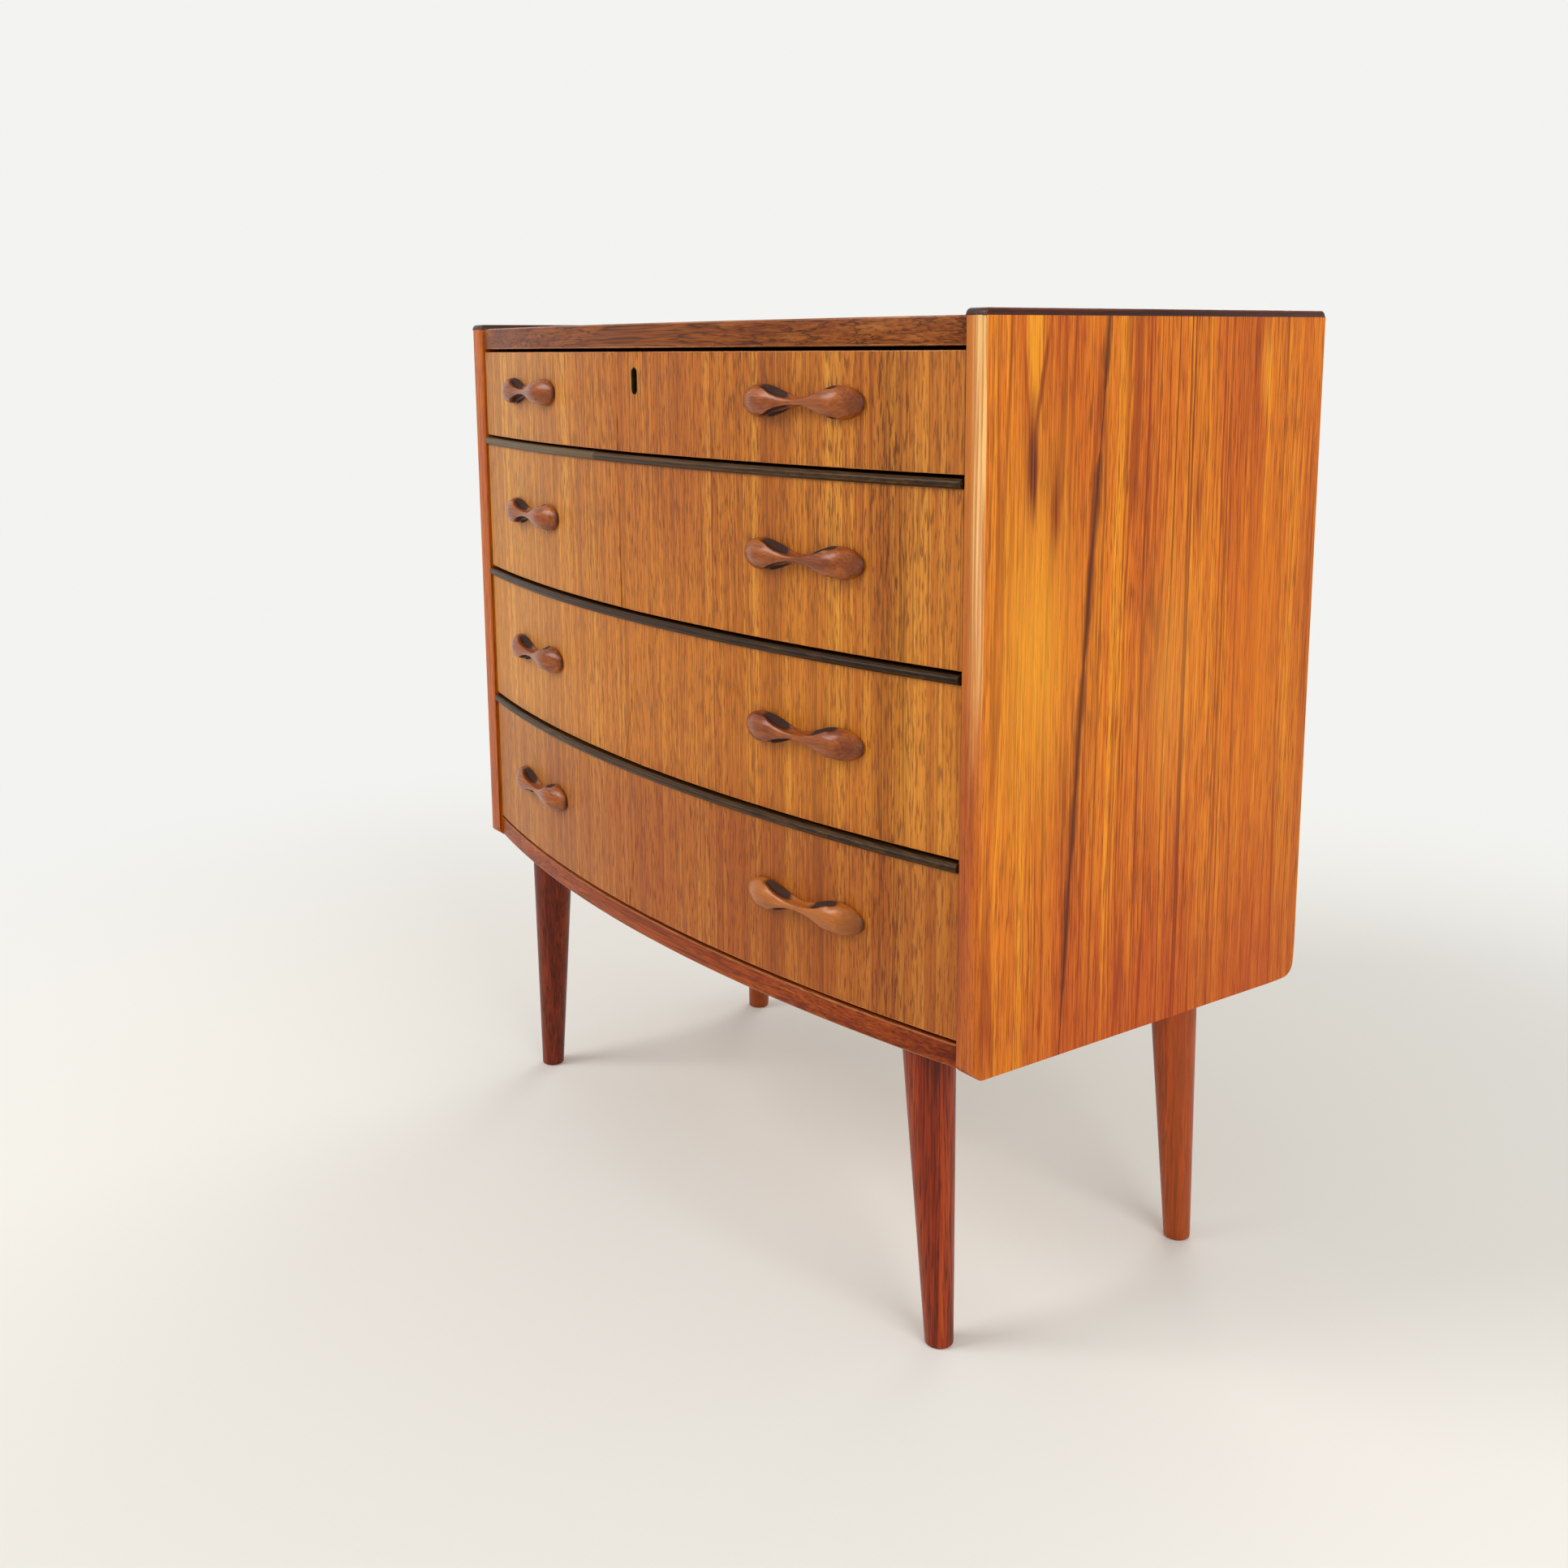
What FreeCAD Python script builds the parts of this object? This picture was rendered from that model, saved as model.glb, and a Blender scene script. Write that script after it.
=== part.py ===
import FreeCAD, Part
import math
import os

import Sketcher

# Bow front chest of drawers in teak: a case on four splayed legs, with four drawers whose fronts
# share one bow. Millimetres, +Z up, the drawers open towards -Y. The origin is on the floor, in the
# middle of the chest's box.

SIZES = (
    # Case
    ("case_width", 780, "over both side panels"),
    ("side_thick", 20, "side panel"),
    ("side_depth", 350, "side panel with its front lipping"),
    ("side_height", 538, "side panel with its top lipping"),
    ("leg_height", 248, "floor to the lower edge of the sides"),
    ("lip_depth", 2.5, "front lipping of a side panel"),
    ("lip_crown", 1.8, "how far the lipping's outer corner falls back"),
    ("lip_crown_width", 3, "width of that rounded corner"),
    ("cap_height", 5, "dark top lipping of a side panel"),
    ("cap_end_round", 4.5, "its two ends, seen from the side"),
    ("front_foot_round", 8, "lower front corner of a side"),
    ("rear_foot_round", 12, "lower rear corner of a side"),
    ("top_drop", 4.5, "top surface below the upper edge of the sides"),
    ("top_thick", 20, "top panel and its front rail"),
    ("base_lift", 2, "underside of the base above the lower edge of the sides"),
    ("base_thick", 18, "base panel and its front rail"),
    ("rail_depth", 60, "front edge of the sides to the joint behind the bowed rails"),
    ("back_thick", 4, "back panel"),
    ("back_setback", 6, "back panel in from the rear edge of the sides"),
    ("back_lap", 9, "width of the rabbets that hold the back panel"),
    ("overcut", 1, "cutter past the edge of the wood, wherever a cut runs out"),
    # Bow
    ("bow_rise", 40, "rise of the bow over the length of a drawer front"),
    ("front_recess", 2.8, "ends of the drawer fronts behind the front edge of the sides"),
    # Drawer fronts
    ("end_gap", 2.3, "drawer to side panel"),
    ("top_gap", 3, "top drawer to the rail above it"),
    ("drawer_gap", 2.5, "between two drawers"),
    ("base_gap", 3, "lowest drawer to the rail under it"),
    ("top_front_height", 83, "front of the top drawer"),
    ("front_thick", 20, "drawer front"),
    ("front_land", 16, "flat for the side joint on the inner face of a front"),
    ("bead_height", 7, "dark bead on the three lower fronts"),
    ("bead_proud", 4, "bead in front of the drawer front"),
    ("bead_chamfer", 2, "front edges of the bead"),
    # Drawer boxes
    ("box_side_thick", 14, "drawer side"),
    ("box_lift", 8, "drawer side above the lower edge of its front"),
    ("box_drop", 10, "drawer side below the upper edge of its front"),
    ("box_clear", 15.2, "rear of the drawer sides to the back panel"),
    ("dovetail_lap", 6, "front left in front of the dovetails"),
    ("dovetail_pin", 8, "pin between two tails, at their tips"),
    ("dovetail_slope", 6, "run of a tail for one of flare"),
    ("ply_thick", 4, "drawer bottom"),
    ("ply_lift", 8, "drawer bottom above the lower edge of the sides"),
    ("ply_groove", 5, "depth of the groove for the drawer bottom"),
    ("ply_play", 0.3, "drawer bottom short of the end of its groove"),
    ("box_back_thick", 12, "drawer back"),
    ("box_back_inset", 10, "drawer back in from the rear of the sides"),
    ("box_back_housing", 5, "depth of the housings that hold the drawer back"),
    ("box_back_drop", 6, "drawer back below the upper edge of the sides"),
    # Runners
    ("runner_thick", 9, "runner, out from the side panel"),
    ("runner_housing", 4, "runner let into the side panel"),
    ("runner_height", 14, "runner"),
    ("runner_rise", 22, "runner groove above the lower edge of the drawer side"),
    ("runner_play", 0.3, "runner to the walls of its groove"),
    ("runner_front", 32, "front edge of the sides to the front of a runner"),
    ("groove_ahead", 3, "front of a runner to the front of its groove, drawer shut"),
    ("runner_past", 7.2, "rear of the drawer sides to the rear of a runner"),
    # Legs
    ("leg_foot_dia", 22.3, "leg at the floor"),
    ("leg_top_dia", 41.8, "leg under the base"),
    ("leg_splay", 3.6, "degrees that a leg leans out sideways"),
    ("leg_inset", 69, "middle of a foot in from the outside of the sides"),
    ("leg_front", 29.5, "middle of a front foot to the front edge of the sides"),
    ("leg_rear", 50, "middle of a rear foot to the rear edge of the sides"),
    ("bolt_dia", 8, "leg bolt"),
    ("bolt_in_leg", 40, "leg bolt in the leg"),
    ("bolt_short", 3, "end of a leg bolt below the top of the base"),
    ("bolt_play", 0.1, "leg bolt to its hole, on the radius"),
    # Handles
    ("handle_inset", 149.7, "middle of a handle in from the end of its drawer front"),
    ("handle_length", 132, "handle"),
    ("handle_waist", 7, "height of the waist"),
    ("handle_waist_proud", 8, "waist in front of the drawer"),
    ("handle_neck_at", 30, "middle of the handle to the neck, where hollow turns to swell"),
    ("handle_neck", 18, "height of the neck"),
    ("handle_neck_proud", 16, "neck in front of the drawer"),
    ("handle_tip", 4, "height of a tip"),
    ("handle_tip_proud", 3, "tip in front of the drawer"),
    ("handle_lobe_round", 32, "swell of a lobe, seen from the front"),
    ("handle_crest_round", 27, "swell of a lobe, seen from above"),
    ("handle_rim_height", 25, "height of a lobe from the drawer out to its rim"),
    ("handle_rim_proud", 7, "rim of a lobe in front of the drawer"),
    ("handle_band_height", 18, "height of the band along the front of a lobe"),
    ("handle_band_proud", 16.5, "edges of that band in front of the drawer"),
    ("handle_crown_height", 11, "height of the crown of a lobe"),
    ("handle_crown_proud", 19.5, "crown of a lobe in front of the drawer"),
    ("handle_blank", 8, "wood left round a handle before it is carved"),
    ("handle_play", 0.05, "glue line behind a handle"),
    ("handle_rise", 46.5, "lower edge of the top drawer to its handles"),
    # Lock
    ("keyhole_width", 9, "oblong keyhole"),
    ("keyhole_height", 22, "oblong keyhole"),
    ("keyhole_rise", 59, "lower edge of the top drawer to the middle of the keyhole"),
    ("liner_wall", 0.8, "keyhole liner"),
    ("lock_width", 50, "lock case"),
    ("lock_height", 44, "lock case"),
    ("lock_thick", 12, "lock case"),
    ("lock_sink", 4, "lock case let into the drawer front"),
    ("lock_bolt_width", 24, "lock bolt"),
    ("lock_bolt_thick", 4.5, "lock bolt"),
    ("lock_bolt_height", 14, "lock bolt"),
    ("lock_bolt_in", 6, "face of the lock case to the lock bolt"),
    ("lock_bolt_throw", 10, "travel of the lock bolt"),
    ("lock_play", 0.15, "lock bolt to its channel in the case"),
    ("keyway_stop", 1, "lock case left behind the keyway"),
    ("mortise_play", 0.3, "lock bolt to the walls of its mortise"),
    ("mortise_end", 1, "raised lock bolt to the end of its mortise"),
)

doc = FreeCAD.newDocument("bow_front_chest")
sheet = doc.addObject("Spreadsheet::Sheet", "Sizes")
for row, (alias, number, note) in enumerate(SIZES, start=1):
    sheet.set(f"A{row}", alias)
    sheet.set(f"B{row}", str(number))
    sheet.setAlias(f"B{row}", alias)
    sheet.set(f"C{row}", note)
places = doc.addObject("Spreadsheet::Sheet", "Places")
doc.recompute()


class Size:
    """A number with the expression that ties it to the cells of the sheet."""

    def __init__(self, number, text):
        self.number = number
        self.text = text

    def __add__(self, other):
        other = sized(other)
        return Size(self.number + other.number, f"({self.text} + {other.text})")

    def __sub__(self, other):
        other = sized(other)
        return Size(self.number - other.number, f"({self.text} - {other.text})")

    def __mul__(self, other):
        other = sized(other)
        return Size(self.number * other.number, f"({self.text} * {other.text})")

    def __truediv__(self, other):
        other = sized(other)
        return Size(self.number / other.number, f"({self.text} / {other.text})")

    def __neg__(self):
        return Size(-self.number, f"(0 - {self.text})")

    def root(self):
        return Size(math.sqrt(self.number), f"sqrt({self.text})")


def sized(value):
    """A plain number in the same form as a size of the sheet."""
    if isinstance(value, Size):
        return value
    return Size(float(value), f"{float(value)}")


def size(alias):
    """A driving size, read from its cell."""
    return Size(float(sheet.get(alias)), f"Sizes.{alias}")


worked_out_names = []


def worked_out(alias, value):
    """Keeps a worked-out size in a cell of its own, so that what uses it stays short."""
    worked_out_names.append(alias)
    cell = f"B{len(worked_out_names)}"
    places.set(f"A{len(worked_out_names)}", alias)
    places.set(cell, "=" + value.text)
    places.setAlias(cell, alias)
    return Size(value.number, f"Places.{alias}")


def across(leg, long_side):
    """The other short side of a right-angled triangle."""
    return (long_side * long_side - leg * leg).root()


# Sketches, features and placements

SIDES = (("left", -1), ("right", 1))


def new_body(label):
    body = doc.addObject("PartDesign::Body", label)
    body.Label = label
    return body


def origin_plane(body, role):
    return next(feature for feature in body.Origin.OriginFeatures if feature.Role == role)


def new_sketch(body, role, offset=0):
    """A sketch parallel to one of the body's origin planes, moved along that plane's normal."""
    sketch = body.newObject("Sketcher::SketchObject", "sketch")
    sketch.AttachmentSupport = [(origin_plane(body, role), "")]
    sketch.MapMode = "FlatFace"
    sketch.setExpression("AttachmentOffset.Base.z", sized(offset).text)
    return sketch


def fix(sketch, kind, places_in_sketch, value):
    """Adds one dimension and ties it to the sheet."""
    index = sketch.addConstraint(Sketcher.Constraint(kind, *places_in_sketch, value.number))
    sketch.setExpression(f"Constraints[{index}]", value.text)


def fix_point(sketch, edge, end, x, y):
    fix(sketch, "DistanceX", (-1, 1, edge, end), sized(x))
    fix(sketch, "DistanceY", (-1, 1, edge, end), sized(y))


def outline(sketch, points, arcs=(), level_half_turns=False):
    """A closed outline through points. arcs maps a point's index to (radius, bulge): the edge from that
    point on is then an arc, which bulges to the right of its direction if bulge is 1, to the left if -1.
    Half circles on a level line are held by the height of their centre instead of their radius."""
    points = [(sized(x), sized(y)) for x, y in points]
    arcs = dict(arcs)
    first = sketch.GeometryCount
    count = len(points)
    ends = []
    for index in range(count):
        start = FreeCAD.Vector(points[index][0].number, points[index][1].number)
        finish_x, finish_y = points[(index + 1) % count]
        finish = FreeCAD.Vector(finish_x.number, finish_y.number)
        if index not in arcs:
            sketch.addGeometry(Part.LineSegment(start, finish))
            ends.append((1, 2))
            continue
        radius, bulge = arcs[index]
        chord = finish - start
        right = FreeCAD.Vector(chord.y, -chord.x).normalize()
        depth = math.sqrt(max(radius.number**2 - chord.Length**2 / 4, 0))
        centre = (start + finish) * 0.5 - right * (depth * bulge)
        circle = Part.Circle(centre, FreeCAD.Vector(0, 0, 1), radius.number)
        # An arc is kept anticlockwise, so one that bulges to the left has its ends the other way round.
        first_end, last_end = (start, finish) if bulge > 0 else (finish, start)
        angles = [math.atan2(end.y - centre.y, end.x - centre.x) for end in (first_end, last_end)]
        sketch.addGeometry(Part.ArcOfCircle(circle, *angles))
        ends.append((1, 2) if bulge > 0 else (2, 1))
    for index in range(count):
        following = (index + 1) % count
        joined = (first + index, ends[index][1], first + following, ends[following][0])
        sketch.addConstraint(Sketcher.Constraint("Coincident", *joined))
    for index, (x, y) in enumerate(points):
        fix_point(sketch, first + index, ends[index][0], x, y)
    for index, (radius, _) in arcs.items():
        edge = first + index
        if level_half_turns:
            sketch.addConstraint(Sketcher.Constraint("Horizontal", edge, 3, edge, 1))
        else:
            fix(sketch, "Radius", (edge,), radius)


def rectangle(sketch, low_x, low_y, high_x, high_y):
    outline(sketch, [(low_x, low_y), (high_x, low_y), (high_x, high_y), (low_x, high_y)])


def slot(sketch, middle_x, middle_y, width, height):
    """An upright oblong with round ends."""
    radius = width / 2
    reach = height / 2 - radius
    low, high = middle_y - reach, middle_y + reach
    left, right = middle_x - radius, middle_x + radius
    outline(sketch, [(right, low), (right, high), (left, high), (left, low)],
            {1: (radius, 1), 3: (radius, 1)}, level_half_turns=True)


def bow_arc(sketch, radius, half):
    """An arc about the sketch's origin, on its lower side, from -half to half."""
    spread = math.asin(half.number / radius.number)
    circle = Part.Circle(FreeCAD.Vector(0, 0), FreeCAD.Vector(0, 0, 1), radius.number)
    low = -math.pi / 2
    edge = sketch.addGeometry(Part.ArcOfCircle(circle, low - spread, low + spread))
    sketch.addConstraint(Sketcher.Constraint("Coincident", edge, 3, -1, 1))
    fix(sketch, "Radius", (edge,), radius)
    fix(sketch, "DistanceX", (-1, 1, edge, 1), -half)
    fix(sketch, "DistanceX", (-1, 1, edge, 2), half)
    return edge


def chain(sketch, start_edge, start_end, points, finish_edge, finish_end):
    """Straight edges from the end of one arc through points to the end of another."""
    here = sketch.getPoint(start_edge, start_end)
    edge, end = start_edge, start_end
    for x, y in points:
        there = FreeCAD.Vector(x.number, y.number)
        line = sketch.addGeometry(Part.LineSegment(here, there))
        sketch.addConstraint(Sketcher.Constraint("Coincident", edge, end, line, 1))
        fix_point(sketch, line, 2, x, y)
        here, edge, end = there, line, 2
    line = sketch.addGeometry(Part.LineSegment(here, sketch.getPoint(finish_edge, finish_end)))
    sketch.addConstraint(Sketcher.Constraint("Coincident", edge, end, line, 1))
    sketch.addConstraint(Sketcher.Constraint("Coincident", line, 2, finish_edge, finish_end))


def bow_plate_outline(sketch, radius, half, back):
    """A plate with a bowed front edge about the sketch's origin and a straight back edge."""
    edge = bow_arc(sketch, radius, half)
    chain(sketch, edge, 2, [(half, back), (-half, back)], edge, 1)


def bow_front_outline(sketch, outer_radius, inner_radius, half, land, land_y):
    """A bent board of even thickness, with a flat land at each end of its inner face."""
    outer = bow_arc(sketch, outer_radius, half)
    inner = bow_arc(sketch, inner_radius, half - land)
    chain(sketch, outer, 2, [(half, land_y)], inner, 2)
    chain(sketch, outer, 1, [(-half, land_y)], inner, 1)


def pad(body, sketch, length, backwards=False):
    feature = body.newObject("PartDesign::Pad", "pad")
    feature.Profile = sketch
    feature.setExpression("Length", sized(length).text)
    feature.Reversed = backwards
    return feature


def pocket(body, sketch, depth=None, along_normal=False):
    """A pocket against the sketch's normal, or along it. With no depth it goes right through."""
    feature = body.newObject("PartDesign::Pocket", "pocket")
    feature.Profile = sketch
    if depth is None:
        feature.Type = "ThroughAll"
    else:
        feature.setExpression("Length", sized(depth).text)
    feature.Reversed = along_normal
    return feature


def mirrored(body, features):
    """The same features on the other side of the middle plane."""
    feature = body.newObject("PartDesign::Mirrored", "mirrored")
    feature.Originals = features
    feature.MirrorPlane = (origin_plane(body, "YZ_Plane"), [""])
    body.Tip = feature
    return feature


def place(piece, x=0, y=0, z=0, turn=None, axis=(0, 0, 1)):
    """Puts a piece at x, y, z, turned by so many degrees about an axis."""
    x, y, z, turn = sized(x), sized(y), sized(z), sized(turn or 0)
    spot = f"vector({x.text}; {y.text}; {z.text})"
    lean = f"rotation(vector({axis[0]}; {axis[1]}; {axis[2]}); {turn.text})"
    piece.setExpression("Placement", f"placement({spot}; {lean})")


def cylinder(radius, height):
    feature = doc.addObject("Part::Cylinder", "cylinder")
    feature.setExpression("Radius", sized(radius).text)
    feature.setExpression("Height", sized(height).text)
    return feature


def group(label, pieces):
    """Like pieces that share one node as separate solids."""
    feature = doc.addObject("Part::Compound", label)
    feature.Label = label
    feature.Links = pieces
    return feature


def cut(label, base, tools):
    """A piece with holes bored at a slant."""
    feature = doc.addObject("Part::Cut", label)
    feature.Base = base
    feature.Tool = tools[0] if len(tools) == 1 else group("bores", tools)
    feature.Label = label
    return feature


# Sizes worked out from the driving ones

half_case = worked_out("half_case", size("case_width") / 2)
inner_half = worked_out("inner_half", half_case - size("side_thick"))
front_half = worked_out("front_half", inner_half - size("end_gap"))
bow_radius = worked_out(
    "bow_radius",
    (front_half * front_half + size("bow_rise") * size("bow_rise")) / (size("bow_rise") * 2),
)
inner_radius = worked_out("inner_radius", bow_radius - size("front_thick"))

# How far the handles reach in front of the sides, and so where the middle of the chest's box is.
handle_foot = worked_out("handle_foot", bow_radius + size("handle_play"))
handle_end = worked_out("handle_end", size("handle_length") / 2)
neck_y = worked_out("neck_y", -across(size("handle_neck_at"), handle_foot) - size("handle_neck_proud"))
tip_y = worked_out("tip_y", -across(handle_end, handle_foot) - size("handle_tip_proud"))
swell_run, swell_fall = handle_end - size("handle_neck_at"), tip_y - neck_y
swell_chord = worked_out("swell_chord", (swell_run * swell_run + swell_fall * swell_fall).root())
swell_depth = worked_out("swell_depth", across(swell_chord / 2, size("handle_crest_round")) / swell_chord)
swell_x = (size("handle_neck_at") + handle_end) / 2 - swell_fall * swell_depth
swell_y = (neck_y + tip_y) / 2 + swell_run * swell_depth
handle_x = worked_out("handle_x", front_half - size("handle_inset"))
turn_sine = handle_x / bow_radius
turn_cosine = across(handle_x, bow_radius) / bow_radius
crest_reach = swell_x * turn_sine - swell_y * turn_cosine + size("handle_crest_round") - bow_radius
front_reach = worked_out("front_reach", size("bow_rise") - size("front_recess") + crest_reach)
case_y = worked_out("case_y", (front_reach - size("side_depth")) / 2)
bow_y = worked_out("bow_y", case_y + size("front_recess") - size("bow_rise") + bow_radius)
bow_in_case = worked_out("bow_in_case", bow_y - case_y)

# The ends of a drawer front, measured from the bow's axis.
end_y = worked_out("end_y", -across(front_half, bow_radius))
land_y = worked_out("land_y", -across(front_half - size("front_land"), inner_radius))
shoulder = worked_out("shoulder", size("front_recess") + land_y - end_y)
tail_tip = worked_out("tail_tip", size("front_recess") + size("dovetail_lap"))
back_face = worked_out("back_face", size("side_depth") - size("back_setback"))
back_seat = worked_out("back_seat", back_face - size("back_thick"))
box_rear = worked_out("box_rear", back_seat - size("box_clear"))

# Heights.
side_z = size("leg_height")
case_top = worked_out("case_top", side_z + size("side_height"))
top_z = worked_out("top_z", case_top - size("top_drop") - size("top_thick"))
base_z = worked_out("base_z", side_z + size("base_lift"))
base_top = worked_out("base_top", base_z + size("base_thick"))
top_drawer_z = worked_out("top_drawer_z", top_z - size("top_gap") - size("top_front_height"))
lower_room = top_drawer_z - size("drawer_gap") * 3 - base_top - size("base_gap")
lower_height = worked_out("lower_height", lower_room / 3)
lower_front = worked_out("lower_front", lower_height - size("bead_height"))
doc.recompute()

nodes = []


def keep(*pieces):
    nodes.extend(pieces)


# Drawers from the top one down: height of the lower edge, height of the front without its bead,
# number of dovetails at each corner, handle height above the lower edge.

drawers = []
for number in range(1, 5):
    if number == 1:
        drawers.append((number, top_drawer_z, size("top_front_height"), 2, size("handle_rise")))
        continue
    below_top = (lower_height + size("drawer_gap")) * (number - 1)
    lower_edge = worked_out(f"drawer_{number}_z", top_drawer_z - below_top)
    drawers.append((number, lower_edge, lower_front, 3, lower_height / 2))


# Runners: a hardwood strip for each drawer, housed in the side panel.

runner_back = box_rear + size("runner_past")
groove_in_side = size("box_lift") + size("runner_rise")
runner_zs = [lower_edge + groove_in_side + size("runner_play") for _, lower_edge, _, _, _ in drawers]


def make_runners(side, sign):
    strips = []
    for z in runner_zs:
        strip = new_body(f"runner_{side}")
        drawing = new_sketch(strip, "YZ_Plane", (inner_half - size("runner_thick")) * sign)
        rectangle(drawing, size("runner_front"), 0, runner_back, size("runner_height"))
        pad(strip, drawing, size("runner_thick") + size("runner_housing"), backwards=sign < 0)
        place(strip, 0, case_y, z)
        strips.append(strip)
    keep(group(f"runners_{side}", strips))


# Back panel: thin plywood in rabbets round the rear of the case.

back_half = inner_half + size("back_lap")
back_low = base_top - size("back_lap")
back_high = top_z + size("back_lap")


def make_back():
    panel = new_body("back_panel")
    drawing = new_sketch(panel, "XZ_Plane", -back_face)
    rectangle(drawing, -back_half, back_low, back_half, back_high)
    pad(panel, drawing, size("back_thick"))
    place(panel, 0, case_y)
    keep(panel)


# Side panels: veneered board, with a solid lipping on the front edge, crowned at its outer corner,
# and a dark solid lipping on the top edge.

board_height = size("side_height") - size("cap_height")
foot_radius = size("front_foot_round")
foot_at_lip = worked_out(
    "foot_at_lip", foot_radius - across(foot_radius - size("lip_depth"), foot_radius)
)


def make_side(side, sign):
    board = new_body(f"side_panel_{side}")
    inner_face = inner_half * sign
    drawing = new_sketch(board, "YZ_Plane", inner_face)
    rear_radius = size("rear_foot_round")
    outline(
        drawing,
        [
            (size("lip_depth"), board_height),
            (size("lip_depth"), foot_at_lip),
            (foot_radius, 0),
            (size("side_depth") - rear_radius, 0),
            (size("side_depth"), rear_radius),
            (size("side_depth"), board_height),
        ],
        {1: (foot_radius, 1), 3: (rear_radius, 1)},
    )
    pad(board, drawing, size("side_thick"), backwards=sign < 0)
    rabbet = new_sketch(board, "YZ_Plane", inner_face)
    rear_cut = size("side_depth") + size("overcut")
    rectangle(rabbet, back_seat, back_low - side_z, rear_cut, back_high - side_z)
    pocket(board, rabbet, size("back_lap"), along_normal=sign > 0)
    housings = new_sketch(board, "YZ_Plane", inner_face)
    for z in runner_zs:
        low = z - side_z
        rectangle(housings, size("runner_front"), low, runner_back, low + size("runner_height"))
    pocket(board, housings, size("runner_housing"), along_normal=sign > 0)
    place(board, 0, case_y, side_z)

    lipping = new_body(f"side_front_lipping_{side}")
    section = new_sketch(lipping, "XY_Plane")
    fall, width = size("lip_crown"), size("lip_crown_width")
    crown_radius = (width * width + fall * fall) / (fall * 2)
    outline(
        section,
        [
            (inner_half * sign, size("lip_depth")),
            (inner_half * sign, 0),
            ((half_case - width) * sign, 0),
            (half_case * sign, fall),
            (half_case * sign, size("lip_depth")),
        ],
        {2: (crown_radius, sign)},
    )
    pad(lipping, section, board_height)
    foot = new_sketch(lipping, "YZ_Plane", half_case * sign)
    past = -size("overcut")
    outline(
        foot,
        [(0, foot_radius), (size("lip_depth"), foot_at_lip), (size("lip_depth"), past), (past, past),
         (past, foot_radius)],
        {0: (foot_radius, 1)},
    )
    pocket(lipping, foot, size("side_thick"), along_normal=sign < 0)
    place(lipping, 0, case_y, side_z)

    cap = new_body(f"side_top_lipping_{side}")
    profile = new_sketch(cap, "YZ_Plane", inner_face)
    end_radius = size("cap_end_round")
    outline(
        profile,
        [
            (0, 0),
            (size("side_depth"), 0),
            (size("side_depth"), size("cap_height") - end_radius),
            (size("side_depth") - end_radius, size("cap_height")),
            (end_radius, size("cap_height")),
            (0, size("cap_height") - end_radius),
        ],
        {2: (end_radius, 1), 4: (end_radius, 1)},
    )
    pad(cap, profile, size("side_thick"), backwards=sign < 0)
    place(cap, 0, case_y, side_z + board_height)
    keep(board, lipping, cap)


# Top and base: a flat panel behind a bowed solid rail, between the sides. The top rail has the mortise
# for the lock bolt, and both panels are rabbeted for the back.

rail_back = -bow_in_case + size("rail_depth")
lock_face = worked_out("lock_face", -inner_radius - size("lock_sink"))
lock_top = worked_out("lock_top", size("keyhole_rise") + size("lock_height") / 2)
bolt_face = lock_face + size("lock_bolt_in")


def make_rail(label, height, z):
    rail = new_body(label)
    drawing = new_sketch(rail, "XY_Plane")
    bow_plate_outline(drawing, bow_radius, inner_half, rail_back)
    pad(rail, drawing, height)
    place(rail, 0, bow_y, z)
    return rail


def make_top():
    rail = make_rail("top_front_rail", size("top_thick"), top_z)
    mortise = new_sketch(rail, "XY_Plane")
    play = size("mortise_play")
    reach = size("lock_bolt_width") / 2 + play
    rectangle(mortise, -reach, bolt_face - play, reach, bolt_face + size("lock_bolt_thick") + play)
    bolt_rise = lock_top + size("lock_bolt_throw") - size("top_front_height") - size("top_gap")
    pocket(rail, mortise, bolt_rise + size("mortise_end"), along_normal=True)
    keep(rail)

    panel = new_body("top_panel")
    drawing = new_sketch(panel, "XY_Plane")
    rectangle(drawing, -inner_half, size("rail_depth"), inner_half, back_face)
    pad(panel, drawing, size("top_thick"))
    rabbet = new_sketch(panel, "XY_Plane")
    rectangle(rabbet, -inner_half, back_seat, inner_half, back_face + size("overcut"))
    pocket(panel, rabbet, size("back_lap"), along_normal=True)
    place(panel, 0, case_y, top_z)
    keep(panel)


# Legs: turned and tapered, leaning out sideways, cut level at the floor and under the base. Each is a
# close ring of flats. A steel bolt runs from each leg up into the base.

LEG_FLATS = 24
lean_run = Size(math.cos(math.radians(size("leg_splay").number)), "cos(Sizes.leg_splay * 1 deg)")
lean_run = worked_out("lean_run", lean_run)
leg_length = worked_out("leg_length", base_z / lean_run)
foot_x = half_case - size("leg_inset")
foot_ys = {"front": case_y + size("leg_front"), "rear": case_y + size("side_depth") - size("leg_rear")}
leg_spots = [(end, side, foot_x * sign, foot_ys[end], sign) for end in foot_ys for side, sign in SIDES]


def lean(piece, x, y, sign, along):
    """Puts a piece on the axis of a leg, so far up from the floor."""
    rise = Size(math.sin(math.radians(size("leg_splay").number)), "sin(Sizes.leg_splay * 1 deg)")
    place(piece, x - rise * along * sign, y, lean_run * along, size("leg_splay") * -sign, (0, 1, 0))


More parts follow.
